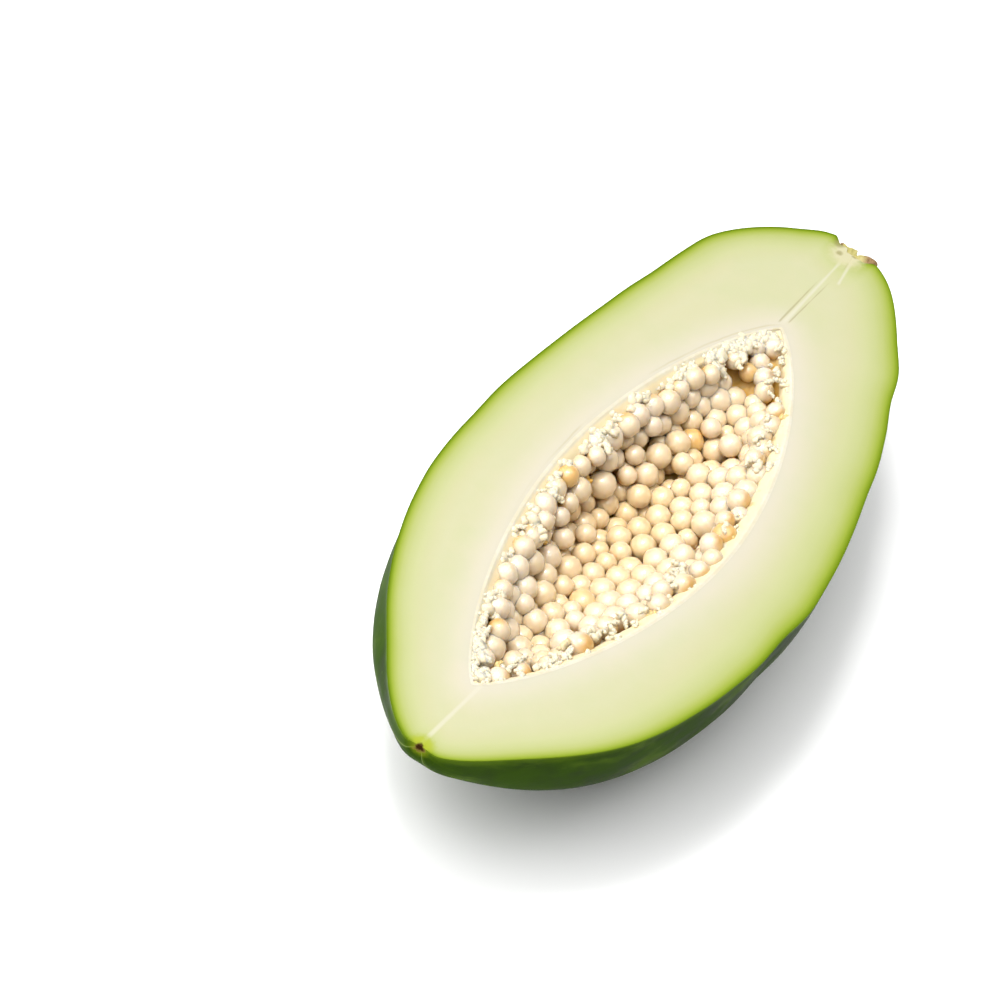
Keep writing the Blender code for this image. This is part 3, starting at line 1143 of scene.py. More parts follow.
@dataclass(frozen=True)
class TissueFinish(Finish):
    """Soft tissue of the lining and its crumbs: cream where it is cut, with golden shade painted where it
    lies deep.
    """

    top: Colour = seen(262, 255, 232)
    other: Colour = seen(256, 245, 212)
    fleck: Colour = seen(248, 212, 132)
    # Painted shade: golden colours for tissue that lies deep in the hollow.
    deep: Colour = seen(274, 222, 118)
    deepest_shade: Colour = seen(262, 206, 96)
    wall: Colour = seen(292, 272, 222)
    crumb: Colour = seen(292, 275, 238)
    amber: Colour = seen(270, 230, 140)
    relief: tuple[float, float, float] = (700.0, 0.2, 0.2 * MM)

    def material(self) -> bpy.types.Material:
        """Makes the tissue's material.

        Returns:
            The material.
        """
        material, graph, shader = self.start()
        sunk = graph.stored("sunk")
        clouded = graph.group(Effects.mottle(), Base=self.top, Other=self.other, Scale=150.0, Amount=0.9)
        # Painted shade: the tissue turns golden with depth below the cut.
        low = graph.group(Effects.mottle(), Base=self.deep, Other=self.deepest_shade, Scale=110.0, Amount=0.8)
        colour = graph.mix(graph.rescale(sunk, 0.0, 0.02), clouded.outputs["Colour"], self.wall)
        colour = graph.mix(graph.rescale(sunk, 0.12, 0.8), colour, low.outputs["Colour"])
        flecks = graph.rescale(graph.noise(300.0, 2.0), 0.60, 0.70, 0.0, 0.7)
        flecks = graph.times(flecks, graph.rescale(sunk, 0.02, 0.12))
        colour = graph.mix(flecks, colour, self.fleck)
        tone = graph.stored("tone")
        # Crumbs near the cut show their own whiter colour; deeper down the painted golden shade wins.
        loose = graph.times(graph.rescale(tone, 0.0, 0.04), graph.rescale(sunk, 0.9, 0.1))
        colour = graph.mix(graph.times(loose, 0.8), colour, self.crumb)
        colour = graph.mix(graph.rescale(tone, 0.8, 0.95, 0.0, 0.85), colour, self.amber)
        graph.feed(shader.inputs["Base Color"], colour)
        self._roughen(graph, shader)
        return material


@dataclass(frozen=True)
class StubFinish(Finish):
    """Dry stem tissue: pale yellow where the knife cut it, pink-brown bark outside."""

    cut: Colour = seen(240, 228, 160)
    fibre: Colour = seen(212, 200, 104)
    bark: Colour = seen(206, 168, 122)
    dark: Colour = seen(140, 104, 56)
    relief: tuple[float, float, float] = (900.0, 0.8, 0.3 * MM)

    def material(self) -> bpy.types.Material:
        """Makes the stub's material.

        Returns:
            The material.
        """
        material, graph, shader = self.start()
        bark = graph.group(Effects.mottle(), Base=self.bark, Other=self.dark, Scale=420.0, Amount=0.8)
        cut = graph.group(Effects.mottle(), Base=self.cut, Other=self.fibre, Scale=300.0, Amount=0.7)
        colour = graph.mix(graph.stored("cut"), bark.outputs["Colour"], cut.outputs["Colour"])
        graph.feed(shader.inputs["Base Color"], colour)
        self._roughen(graph, shader)
        return material


@dataclass
class HalfCup:
    """A closed cup between an outer and an inner half surface, cut flat at one height.

    Attributes:
        name: The piece's name.
        outer: Shape of the outside.
        inner: Shape of the inside.
        sides: Sides of a full turn round the long axis.
        rings: Rings along the fruit.
        rim_rows: Rows of faces across the rim.
        height: Height of the cut.
        crowding: Above 1, the rings lie closer together towards the stem.
    """

    name: str
    outer: Shape
    inner: Shape
    sides: int
    rings: int
    rim_rows: int
    height: float
    crowding: float

    def _double_shell(self) -> tuple[bpy.types.Object, Array]:
        """Makes half a ball with its poles on X, doubled into two shells joined at the rim.

        Returns:
            The shells, still of radius 1, and which of their points are the inner shell's.
        """
        Modeller.deselect()
        bpy.ops.mesh.primitive_uv_sphere_add(
            segments=self.sides, ring_count=self.rings, radius=1, rotation=(0, math.pi / 2, 0)
        )
        ball = bpy.context.object
        ball.name = ball.data.name = self.name
        Modeller.settle(ball)
        Modeller.drop_faces(ball, Modeller.face_centres(ball)[:, 2] > 0)
        bpy.ops.object.mode_set(mode="EDIT")
        bpy.ops.mesh.select_all(action="SELECT")
        bpy.ops.mesh.extrude_region_move()
        bpy.ops.object.mode_set(mode="OBJECT")
        return ball, Modeller.read(ball.data.vertices, "select", bool)

    def _divide_rim(self, ball: bpy.types.Object, inner: Array) -> None:
        """Divides the edges that cross the rim between the two shells.

        Args:
            ball: The two shells.
            inner: Which of their points are the inner shell's.
        """
        start, end = Modeller.read(ball.data.edges, "vertices", np.int32, 2).T
        Modeller.pick(ball, "EDGE", inner[start] != inner[end])
        bpy.ops.mesh.subdivide_edgering(number_cuts=self.rim_rows, interpolation="LINEAR")
        bpy.ops.mesh.select_all(action="SELECT")
        bpy.ops.mesh.normals_make_consistent(inside=False)
        bpy.ops.object.mode_set(mode="OBJECT")

    def build(self) -> bpy.types.Object:
        """Shapes the two shells and joins them by a flat rim.

        Returns:
            The cup; its faces outside have finish 0, the rest finish 1.
        """
        ball, inner = self._double_shell()
        x, y, z = Modeller.points(ball).T
        share = np.arccos(np.clip(x, -1, 1)) / math.pi
        along = np.cos(math.pi * share**self.crowding)
        angle = np.arctan2(np.minimum(z, 0), y)
        points = np.where(inner[:, None], self.inner(along, angle), self.outer(along, angle))
        points[np.abs(z) < RIM_TOLERANCE, 2] = self.height
        Modeller.move_points(ball, points)
        Modeller.mark(ball, "along", along)
        Modeller.mark(ball, "around", angle / (2 * math.pi))
        Modeller.mark(ball, "inside", inner)
        self._divide_rim(ball, inner)
        self._number_faces(ball)
        return ball

    def _number_faces(self, ball: bpy.types.Object) -> None:
        """Gives the faces outside one finish and all others another.

        Args:
            ball: The cup.
        """
        stored = ball.data.attributes["inside"]
        inside = Modeller.read(stored.data, "value", float)
        ball.data.attributes.remove(stored)
        corners = Modeller.read(ball.data.loops, "vertex_index", np.int32)
        starts = Modeller.read(ball.data.polygons, "loop_start", np.int32)
        most = np.maximum.reduceat(inside[corners], starts)
        Modeller.give_finishes(ball, most > 0, 2)


def nearest(points: Array, line: Array) -> Array:
    """Distance from each point to a polyline, seen from above.

    Args:
        points: Places, one a row.
        line: The polyline's points in order, one a row.

    Returns:
        One distance for each point.
    """
    best = np.full(len(points), np.inf)
    for a, b in zip(line[:-1, :2], line[1:, :2]):
        run = b - a
        reach = max(float(run @ run), 1e-12)
        t = np.clip((points[:, :2] - a) @ run / reach, 0, 1)
        best = np.minimum(best, np.linalg.norm(points[:, :2] - a - t[:, None] * run, axis=1))
    return best


@dataclass
class FleshHalf:
    """The flesh with its skin, as one closed body with a finish for each.

    Attributes:
        lump_fade: Depth below the cut at which the unevenness is full.
        smooth_below: Edges that turn by fewer degrees are shaded smooth.
        outline_steps: Points on each side of an outline that distances are measured from.
        side_blend: Distance from the middle line where one side's green has given way to the other's.
        crease_side: Places across the fruit where the fine fold by the hollow and its painted shade start and
            where they are full.
        crease_reach: The same along the fruit.
        edge_lift: Depth in the green that the flesh has right at the skin, first on the +Y side
            and then on the other.
        green_reach: How far the green goes into the flesh, by evenly spaced places from the
            tip to the stem, sides in the same order.
    """

    form: FruitForm
    sides: int = 144
    rings: int = 150
    rim_rows: int = 34
    lump_size: float = 26 * MM
    lump_depth: float = 0.35 * MM
    lump_fade: float = 12 * MM
    smooth_below: float = 50.0
    outline_steps: int = 240
    side_blend: float = 8 * MM
    crease_side: tuple[float, float] = (-2 * MM, 4 * MM)
    crease_reach: tuple[float, float] = (-40 * MM, 10 * MM)
    edge_lift: tuple[float, float] = (0.1 * MM, 0.5 * MM)
    green_reach: tuple[tuple[float, ...], tuple[float, ...]] = (
        (0.95, 0.95, 0.95, 1.0, 1.0, 1.05, 1.1),
        (0.7, 1.1, 1.5, 1.75, 1.65, 1.45, 1.3),
    )

    def _rim(self, shape: Shape) -> Array:
        """The closed outline of a surface on the cut face.

        Args:
            shape: The surface.

        Returns:
            The outline's points in order.
        """
        along = np.cos(np.linspace(math.pi, 0, self.outline_steps))
        far = shape(along, np.zeros_like(along))
        near = shape(along[::-1], np.full_like(along, math.pi))
        return np.concatenate((far, near, far[:1]))

    def _green_depth(self, points: Array, from_skin: Array) -> Array:
        """Distance from the skin, counted in the reach of the green at each place.

        Args:
            points: The piece's points.
            from_skin: Their distances from the skin.

        Returns:
            The depth in the green at each point.
        """
        form = self.form
        x, y = (points[:, axis] - form.origin[axis] for axis in (0, 1))
        share = x / form.length + 0.5
        far, near = (smooth_between(reach, share) for reach in self.green_reach)
        across = y - smooth_between(form.side_shifts, share) * MM
        side = smooth_step(across, -self.side_blend, self.side_blend)
        far_lift, near_lift = self.edge_lift
        lift = near_lift + (far_lift - near_lift) * side
        return (from_skin + lift) / (near + (far - near) * side)

    def build(self) -> bpy.types.Object:
        """Models the half fruit.

        Returns:
            The piece, still without its finishes.
        """
        form = self.form
        cup = HalfCup(
            Node.FLESH.value + "_fine",
            form.skin,
            form.hollow,
            self.sides,
            self.rings,
            self.rim_rows,
            form.cut_height,
            form.ring_crowding,
        ).build()
        points = Modeller.points(cup)
        from_skin = nearest(points, self._rim(form.skin))
        from_hollow = nearest(points, self._rim(form.hollow))
        below = form.cut_height - points[:, 2]
        on_cut = below < 0.001 * MM
        Modeller.mark(cup, "green_depth", np.where(on_cut, self._green_depth(points, from_skin), 1.0))
        Modeller.mark(cup, "from_hollow", np.where(on_cut, from_hollow, 0.0))
        Modeller.mark(cup, "below_cut", below)
        x, y = (points[:, axis] - form.origin[axis] for axis in (0, 1))
        # Where the fine fold by the hollow and its painted shade lie.
        Modeller.mark(cup, "far_stem", smooth_step(y, *self.crease_side) * smooth_step(x, *self.crease_reach))
        self._soften(cup, points)
        return cup

    def _soften(self, cup: bpy.types.Object, points: Array) -> None:
        """Gives the skin and the hollow's wall a slight unevenness, all of it inwards.

        Args:
            cup: The piece.
            points: Its points.
        """
        middle = points.mean(axis=0)
        inward = middle - points
        inward /= np.linalg.norm(inward, axis=1)[:, None]
        depth = self.lump_depth * (0.5 + 0.5 * lumps(points, self.lump_size))
        depth *= smooth_step(self.form.cut_height - points[:, 2], 0, self.lump_fade)
        moved = points + inward * depth[:, None]
        moved[:, 2] = np.maximum(moved[:, 2], 0)
        Modeller.move_points(cup, moved)

    def dress(self, cup: bpy.types.Object, skin: SkinFinish, flesh: FleshFinish) -> None:
        """Gives the piece its two finishes and its place in the frame.

        Args:
            cup: The piece.
            skin: The finish outside.
            flesh: The finish of the cut face and the hollow.
        """
        cup.data.materials[0] = skin.material()
        cup.data.materials[1] = flesh.material()
        Modeller.smooth(cup, self.smooth_below)
        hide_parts(Node.FLESH.value)
        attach(cup, "root")


@dataclass
class SeedModel:
    """One seed, modelled once and copied: a round body, a little narrower at its root."""

    cuts: int = 2
    root_taper: float = 0.12

    def build(self) -> bpy.types.Object:
        """Models a seed of radius 1 with its root at -Z.

        Returns:
            The seed.
        """
        Modeller.deselect()
        bpy.ops.mesh.primitive_cube_add(size=2)
        seed = bpy.context.object
        bpy.ops.object.mode_set(mode="EDIT")
        bpy.ops.mesh.select_all(action="SELECT")
        bpy.ops.mesh.subdivide(number_cuts=self.cuts)
        bpy.ops.transform.tosphere(value=1.0)
        bpy.ops.object.mode_set(mode="OBJECT")
        points = Modeller.points(seed)
        points /= np.linalg.norm(points, axis=1)[:, None]
        low = np.clip(-points[:, 2], 0, 1)
        points[:, :2] *= (1 - self.root_taper * low**2)[:, None]
        Modeller.move_points(seed, points)
        return seed


def turn_to(direction: Vector, spin: float) -> Array:
    """A rotation that takes +Z to a direction, after a spin about +Z."""
    turned = direction.to_track_quat("Z", "Y").to_matrix() @ Matrix.Rotation(spin, 3, "Z")
    return np.array(turned)


def copy_many(name: str, models: Sequence[bpy.types.Object], places: Iterable[tuple]) -> bpy.types.Object:
    """Makes one piece from many copies of some models, which are then removed.

    Args:
        name: The piece's name.
        models: The shapes to copy.
        places: For each copy the model's number, a rotation, a scale for each axis, a place and a tone.

    Returns:
        The piece, with each copy's tone and nearness to its own root stored on its points; the seeds' finish
        paints that root side as shade.
    """
    shapes = [Modeller.points(model) for model in models]
    faces = [[tuple(face.vertices) for face in model.data.polygons] for model in models]
    points, polygons, tones, root_side_shade = [], [], [], []
    count = 0
    for number, rotation, scale, place, tone in places:
        shape = shapes[number]
        points.append((shape * scale) @ rotation.T + place)
        polygons.extend(tuple(i + count for i in face) for face in faces[number])
        tones.append(np.full(len(shape), tone))
        # Nearness to the root side, which the seeds' finish paints as shade.
        root_side_shade.append(0.5 - shape[:, 2] / 2)
        count += len(shape)
    for model in models:
        bpy.data.objects.remove(model)
    mesh = bpy.data.meshes.new(name)
    mesh.from_pydata(np.concatenate(points), [], polygons)
    piece = bpy.data.objects.new(name, mesh)
    bpy.context.scene.collection.objects.link(piece)
    Modeller.mark(piece, "tone", np.concatenate(tones))
    Modeller.mark(piece, "root_side_shade", np.concatenate(root_side_shade))
    return piece


@dataclass
class SeedHeap:
    """Seeds packed side by side between the lining and the open valley over the middle.

    Attributes:
        count: Seeds at the start, before the ones too close to others are left out.
        radius: Mean radius of a seed.
        spread: Share by which a seed's radius can differ from the mean.
        wall: Least and greatest thickness of the lining under a seed.
        flush: Least depth of a seed's middle below the cut, drawn between two shares of its radius.
        cover: Thickness of the layer of seeds from the wall to the valley.
        valley_share: Depth of the valley as a share of the hollow's.
        valley_lean: How far the valley leans to the +Y side at its bottom.
        valley_power: Above 2 the valley's section is squarer than an ellipse, below 2 sharper.
        twins: Number of pairs that have grown together.
        twin_gap: How far apart a pair's middles are, as a share of the radii added.
        crowded: A seed nearer to another than this share of the radii added is left out.
        steps: Rounds of pushing apart.
        push: Share of an overlap by which one round moves each of the two seeds.
        pull_reach: The most of a pair's gap that counts when it is drawn together.
        start_inset: How far inside the wall the seeds start.
        start_scatter: How far they are scattered at the start.
        stretch: Least and greatest width and length of a seed, as shares of its size.
        wobble: How far a seed's axis strays, beside a length of 1 towards the lining.
        middle_depth: Depth below the cut of the line that the seeds point away from.
        full_depth: Depth below the cut that counts as fully sunk, which sets how the seeds' painted golden
            shade grows with depth.
        end_room: How much of its own reach a seed keeps clear where the hollow narrows.
        seed: Start of the random numbers.
    """

    form: FruitForm
    count: int = 320
    radius: float = 3.15 * MM
    spread: float = 0.17
    wall: tuple[float, float] = (0.1 * MM, 1.6 * MM)
    flush: tuple[float, float] = (0.75, 1.6)
    cover: float = 8.4 * MM
    valley_share: float = 0.68
    valley_lean: float = 6.0 * MM
    valley_power: float = 1.7
    twins: int = 20
    twin_gap: float = 0.72
    crowded: float = 0.66
    steps: int = 260
    push: float = 0.35
    pull_reach: float = 4 * MM
    start_inset: float = 4 * MM
    start_scatter: float = 1.5 * MM
    stretch: tuple[tuple[float, float], ...] = ((0.95, 1.05), (0.97, 1.08))
    wobble: float = 0.5
    middle_depth: float = 2 * MM
    full_depth: float = 18 * MM
    end_room: float = 1.25
    seed: int = 11

    def _section(self, x: Array, reach: Array) -> tuple[Array, Array, Array]:
        """The hollow's cross-section at each seed.

        Args:
            x: The seeds' places along the fruit.
            reach: Each seed's radius with the lining under it.

        Returns:
            The place along the fruit moved into the hollow, the half width and the middle's side.
        """
        form = self.form
        middle = form.origin[0] + form.hollow_start + form.hollow_length / 2
        half = form.hollow_length / 2
        narrow = np.clip(self.end_room * reach / form.hollow_half_width, 0, 0.99)
        furthest = (1 - narrow ** (1 / form.hollow_point)) ** (1 / form.hollow_fullness)
        along = np.clip((x - middle) / half, -furthest, furthest)
        width = form.hollow_width(along)
        side = form.origin[1] + form.hollow_side_shift * width
        return middle + along * half, form.hollow_half_width * width, side

    def _clear_valley(self, y: Array, z: Array, wide: Array, radius: Array) -> tuple[Array, Array]:
        """Moves seeds out of the open valley, straight away from its middle line.

        Args:
            y: Places across the fruit, from the hollow's middle.
            z: Heights from the cut.
            wide: Half the hollow's width at each seed.
            radius: The seeds' radii.

        Returns:
            The new places across and the new heights.
        """
        ratio = self.form.hollow_depth_ratio * self.valley_share
        depth = z / (ratio * self.form.hollow_half_width)
        across, down = y - self.valley_lean * depth**2, z / ratio
        power = self.valley_power
        far = (np.abs(across) ** power + np.abs(down) ** power) ** (1 / power)
        least = np.where(wide > self.cover, wide - self.cover + radius, 0)
        move = np.clip(least - far, 0, None) / np.maximum(far, 0.2 * MM)
        return y + move * across, z + move * down * ratio

    def _keep_inside(self, place: Array, radius: Array, wall: Array, top: Array) -> Array:
        """Moves seeds that stand in the lining, in the valley or too high.

        Args:
            place: The seeds' places.
            radius: Their radii.
            wall: How thick the lining is under each seed.
            top: The greatest height of each seed's middle, from the cut.

        Returns:
            The seeds' new places.
        """
        form = self.form
        reach = radius + wall
        x, wide, middle = self._section(place[:, 0], reach)
        y = place[:, 1] - middle
        z = np.minimum(place[:, 2] - form.cut_height, top)
        y, z = self._clear_valley(y, z, wide, radius)
        ratio = form.hollow_depth_ratio * form.lining_depth_share
        far = np.hypot(y, z / ratio)
        most = np.maximum(wide - reach, 0.1 * MM)
        back = np.where(far > most, most / np.maximum(far, 0.1 * MM), 1)
        z = np.minimum(z * back, top)
        return np.stack((x, middle + y * back, form.cut_height + z), axis=1)

    def pack(self) -> tuple[Array, Array]:
        """Lets random seeds push one another apart until they fill their room.

        Returns:
            The seeds' places and radii.
        """
        draw = np.random.default_rng(self.seed)
        radius = self.radius * (1 + self.spread * draw.uniform(-1, 1, self.count))
        along = draw.uniform(-0.95, 0.95, self.count)
        angle = draw.uniform(math.pi, 2 * math.pi, self.count)
        place = self.form.hollow(along, angle, self.start_inset)
        place = place + draw.normal(0, self.start_scatter, (self.count, 3))
        wall = draw.uniform(*self.wall, self.count)
        top = -radius * draw.uniform(*self.flush, self.count)
        reach = radius[:, None] + radius[None, :]
        full = reach.copy()
        pull = np.zeros_like(reach)
        first = np.arange(0, 2 * self.twins, 2)
        place[first + 1] = place[first] + 1 * MM
        reach[first, first + 1] *= self.twin_gap
        reach[first + 1, first] *= self.twin_gap
        pull[first, first + 1] = pull[first + 1, first] = 1
        for _ in range(self.steps):
            apart = place[:, None, :] - place[None, :, :]
            gap = np.linalg.norm(apart, axis=2)
            np.fill_diagonal(gap, np.inf)
            excess = np.clip(reach - gap, 0, None) - pull * np.clip(gap - reach, 0, self.pull_reach)
            shift = apart / np.maximum(gap, 0.01 * MM)[:, :, None] * excess[:, :, None]
            place = self._keep_inside(place + self.push * shift.sum(axis=1), radius, wall, top)
        gap = np.linalg.norm(place[:, None, :] - place[None, :, :], axis=2)
        free = ~np.triu(gap < self.crowded * full, 1).any(axis=0)
        return place[free], radius[free]

    def outward(self, place: Array) -> Array:
        """The direction from the valley to the lining at each seed, of length 1.

        Args:
            place: The seeds' places.

        Returns:
            One direction for each seed.
        """
        form = self.form
        _, _, middle = self._section(place[:, 0], np.full(len(place), self.radius))
        y = place[:, 1] - middle
        z = place[:, 2] - form.cut_height + self.middle_depth
        away = np.stack((np.zeros(len(place)), y, z), axis=1)
        return away / np.maximum(np.linalg.norm(away, axis=1), 1e-6)[:, None]

    def build(self) -> bpy.types.Object:
        """Models the heap of seeds.

        Returns:
            The piece.
        """
        place, radius = self.pack()
        outward = self.outward(place)
        draw = np.random.default_rng(self.seed + 1)
        copies = []
        for spot, size, away in zip(place, radius, outward):
            lean = Vector(-away) + Vector(draw.uniform(-self.wobble, self.wobble, 3))
            rotation = turn_to(lean.normalized(), draw.uniform(0, 2 * math.pi))
            scale = size * np.array((1, *(draw.uniform(*limits) for limits in self.stretch)))
            copies.append((0, rotation, scale, spot, draw.uniform(0, 1)))
        heap = copy_many("papaya_seeds", [SeedModel().build()], copies)
        # Depth below the cut, for the golden shade that the seeds' finish paints on deeper seeds.
        sunk = (self.form.cut_height - Modeller.points(heap)[:, 2]) / self.full_depth
        Modeller.mark(heap, "sunk", sunk)
        Modeller.smooth(heap)
        return heap


@dataclass(frozen=True)
class RimShreds:
    """Ranges from which the shreds on one side of the hollow are drawn.

    Attributes:
        tilt: Angle below the cut, seen from the hollow's middle line.
        inset: Distance from the wall, in millimetres.
        size: Radius of the largest crumb, in millimetres.
        tone: Tone of its colour.
    """

    tilt: tuple[float, float]
    inset: tuple[float, float]
    size: tuple[float, float]
    tone: tuple[float, float]


@dataclass
class SeedBed:
    """The soft tissue in the hollow: its lining with a torn shelf along the rim, and crumbs.

    Attributes:
        rim_overlap: How far the lining's rim lies over the flesh.
        lining: How thick the lining is.
        rim_rise: How far the rim stands over the cut.
        far_shelf: Width of the shelf on the +Y side.
        near_shelf: Width of the shelf on the other side.
        shelf_start: Sines of the angle below the cut where the shelf starts and where it is full.
        shelf_end: The same where it starts to end and where it is gone.
        torn: Height of the tears, for wide and narrow ones.
        torn_sizes: Width of those tears.
        sides: Sides of a full turn of the lining.
        rings: Rings along the lining.
        rim_rows: Rows of faces across its rim.
        shred_count: Number of torn shreds, each of a few crumbs that hang together.
        crumb_models: Number of differently shaped crumbs.
        crumb_stretch: Least and greatest size of a crumb along each axis, as a share.
        crumb_sink: Least depth of a crumb's middle below the cut, in shares of its size.
        swelling_width: Width of a crumb's swellings, as a share of its radius.
        swelling_height: Their height, as a share of its radius.
        row_crumbs: A shred has from the first number of crumbs to one below the second.
        row_spread: How strongly a row heads along each axis at its start.
        row_turn: How strongly each step turns it.
        row_step: Distance from one crumb to the next, in shares of its size.
        row_shrink: Size of the next crumb as a share, least and greatest.
        flap_shreds: Shreds that make up one flap.
        flap_scatter: How far they are scattered.
        flap_tone: Their tone.
        far_share: Share of the shreds that lie on the +Y side.
        flaps: Larger shreds: their places from the form's origin and their size, in millimetres.
    """

    form: FruitForm
    rim_overlap: float = 0.45 * MM
    lining: float = 0.5 * MM
    rim_rise: float = 0.02 * MM
    far_shelf: float = 1.6 * MM
    near_shelf: float = 1.8 * MM
    shelf_start: tuple[float, float] = (0.0, 0.12)
    shelf_end: tuple[float, float] = (0.22, 0.6)
    torn: tuple[float, float] = (0.9 * MM, 0.45 * MM)
    torn_sizes: tuple[float, float] = (2.6 * MM, 1.1 * MM)
    sides: int = 160
    rings: int = 180
    rim_rows: int = 3
    shred_count: int = 270
    crumb_models: int = 8
    crumb_stretch: tuple[float, float] = (0.7, 1.25)
    crumb_sink: float = 0.95
    swelling_width: float = 0.8
    swelling_height: float = 0.45
    row_crumbs: tuple[int, int] = (3, 7)
    row_spread: Place = (1.0, 1.0, 0.45)
    row_turn: Place = (0.9, 0.9, 0.45)
    row_step: float = 0.95
    row_shrink: tuple[float, float] = (0.72, 0.98)
    flap_shreds: int = 3
    flap_scatter: float = 0.6 * MM
    flap_tone: float = 0.2
    far_share: float = 0.66
    far_shreds: RimShreds = RimShreds((0.02, 0.26), (0.9, 3.6), (0.9, 1.8), (0.05, 0.85))
    near_shreds: RimShreds = RimShreds((0.02, 0.10), (0.8, 8.0), (0.5, 1.1), (0.05, 1.0))
    flaps: tuple[tuple[float, float, float], ...] = (
        (60.5, 3.4, 2.6),
        (62.5, 2.0, 2.2),
        (64.0, 0.4, 1.7),
        (54.5, 7.6, 1.9),
        (50.0, 9.6, 1.6),
        (-74.0, 3.0, 1.8),
        (-77.5, 0.2, 1.7),
        (-71.0, 5.6, 1.9),
    )
    seed: int = 23

    def _bed(self, along: Array, angle: Array) -> Array:
        """Upper surface of the lining: a shelf near the rim, then close to the wall.

        Args:
            along: Places along the hollow.
            angle: Angles round the long axis.

        Returns:
            One point a row.
        """
        form = self.form
        depth = -np.sin(angle)
        shelf = np.where(np.cos(angle) > 0, self.far_shelf, self.near_shelf)
        shelf = shelf * smooth_step(depth, *self.shelf_start) * (1 - smooth_step(depth, *self.shelf_end))
        point = form.hollow(along, angle, self.lining, form.lining_depth_share)
        width = form.hollow_width(along)
        share = 1 - shelf / form.hollow_half_width
        middle = form.origin[1] + form.hollow_side_shift * width
        point[:, 1] = middle + (point[:, 1] - middle) * share
        return point

    def build_lining(self) -> bpy.types.Object:
        """Models the soft lining that the seeds grow on.

        Returns:
            The piece.
        """
        form = self.form
        lining = HalfCup(
            "hollow_lining",
            lambda along, angle: form.hollow(along, angle, -self.rim_overlap),
            self._bed,
            self.sides,
            self.rings,
            self.rim_rows,
            form.cut_height + self.rim_rise,
            form.ring_crowding,
        ).build()
        points = Modeller.points(lining)
        depth = form.cut_height - points[:, 2]
        # Depth below the cut, which the tissue's finish paints as golden shade.
        Modeller.mark(lining, "sunk", smooth_step(depth, 0.1 * MM, 9 * MM))
        height = sum(
            tear * (0.5 + 0.5 * lumps(points, size, size / MM))
            for tear, size in zip(self.torn, self.torn_sizes)
        )
        inside = np.zeros(len(points), dtype=bool)
        for face in lining.data.polygons:
            if face.material_index == 1:
                inside[list(face.vertices)] = True
        inward = np.stack((0 * depth, form.origin[1] - points[:, 1], form.cut_height - points[:, 2]), axis=1)
        inward /= np.maximum(np.linalg.norm(inward, axis=1), MM)[:, None]
        free = smooth_step(depth, 0.1 * MM, 1.5 * MM) * inside
        Modeller.move_points(lining, points + inward * (height * free)[:, None])
        Modeller.smooth(lining, 60)
        return lining

    def _crumb(self, number: int) -> bpy.types.Object:
        """One crumb: a small ball with a few blunt swellings.

        Args:
            number: The crumb's number, which sets its shape.

        Returns:
            The crumb, about 1 in radius.
        """
        crumb = SeedModel(cuts=2, root_taper=0).build()
        points = Modeller.points(crumb)
        swellings = lumps(points, self.swelling_width, offset=3.1 * number)
        Modeller.move_points(crumb, points * (0.95 + self.swelling_height * swellings)[:, None])
        return crumb

    def _over_hollow(self, spot: Array) -> bool:
        """Tells whether a place lies over the hollow, seen from above.

        Args:
            spot: The place.

        Returns:
            True where it does.
        """
        form = self.form
        along = 2 * (spot[0] - form.origin[0] - form.hollow_start) / form.hollow_length - 1
        if abs(along) >= 1:
            return False
        width = float(form.hollow_width(along))
        side = spot[1] - form.origin[1] - form.hollow_side_shift * width
        return abs(side) < form.hollow_half_width * width

    def _shred(self, draw: np.random.Generator, spot: Array, size: float, tone: float) -> list[tuple]:
        """A torn shred: crumbs of falling size that hang together in a short crooked row.

        Args:
            draw: The source of random numbers.
            spot: Where its largest crumb lies.
            size: Radius of that crumb.
            tone: Its tone.

        Returns:
            One copy for each crumb.
        """
        copies = []
        step = draw.normal(size=3) * self.row_spread
        for _ in range(int(draw.integers(*self.row_crumbs))):
            if not self._over_hollow(spot):
                break
            rotation = turn_to(Vector(draw.normal(size=3)).normalized(), draw.uniform(0, 2 * math.pi))
            scale = size * draw.uniform(*self.crumb_stretch, 3)
            height = min(spot[2], self.form.cut_height - size * self.crumb_sink)
            place = np.array((spot[0], spot[1], height))
            copies.append((int(draw.integers(self.crumb_models)), rotation, scale, place, tone))
            step = step + draw.normal(size=3) * self.row_turn
            spot = spot + step / np.linalg.norm(step) * size * self.row_step
            size *= draw.uniform(*self.row_shrink)
        return copies

    def _scattered(self, draw: np.random.Generator) -> tuple[Array, float, float]:
        """Draws one shred's place by the hollow's rim, its size and its tone.

        Args:
            draw: The source of random numbers.

        Returns:
            The place, the size and the tone.
        """
        form = self.form
        far_side = draw.uniform() < self.far_share
        along = draw.choice((-1, 1)) * draw.uniform(0, 0.98) ** 0.85
        ranges = self.far_shreds if far_side else self.near_shreds
        tilt, inset, size = (draw.uniform(*limits) for limits in (ranges.tilt, ranges.inset, ranges.size))
        angle = -tilt if far_side else math.pi + tilt
        spot = form.hollow(np.array([along]), np.array([angle]), inset * MM)[0]
        return spot, size * MM, draw.uniform(*ranges.tone)

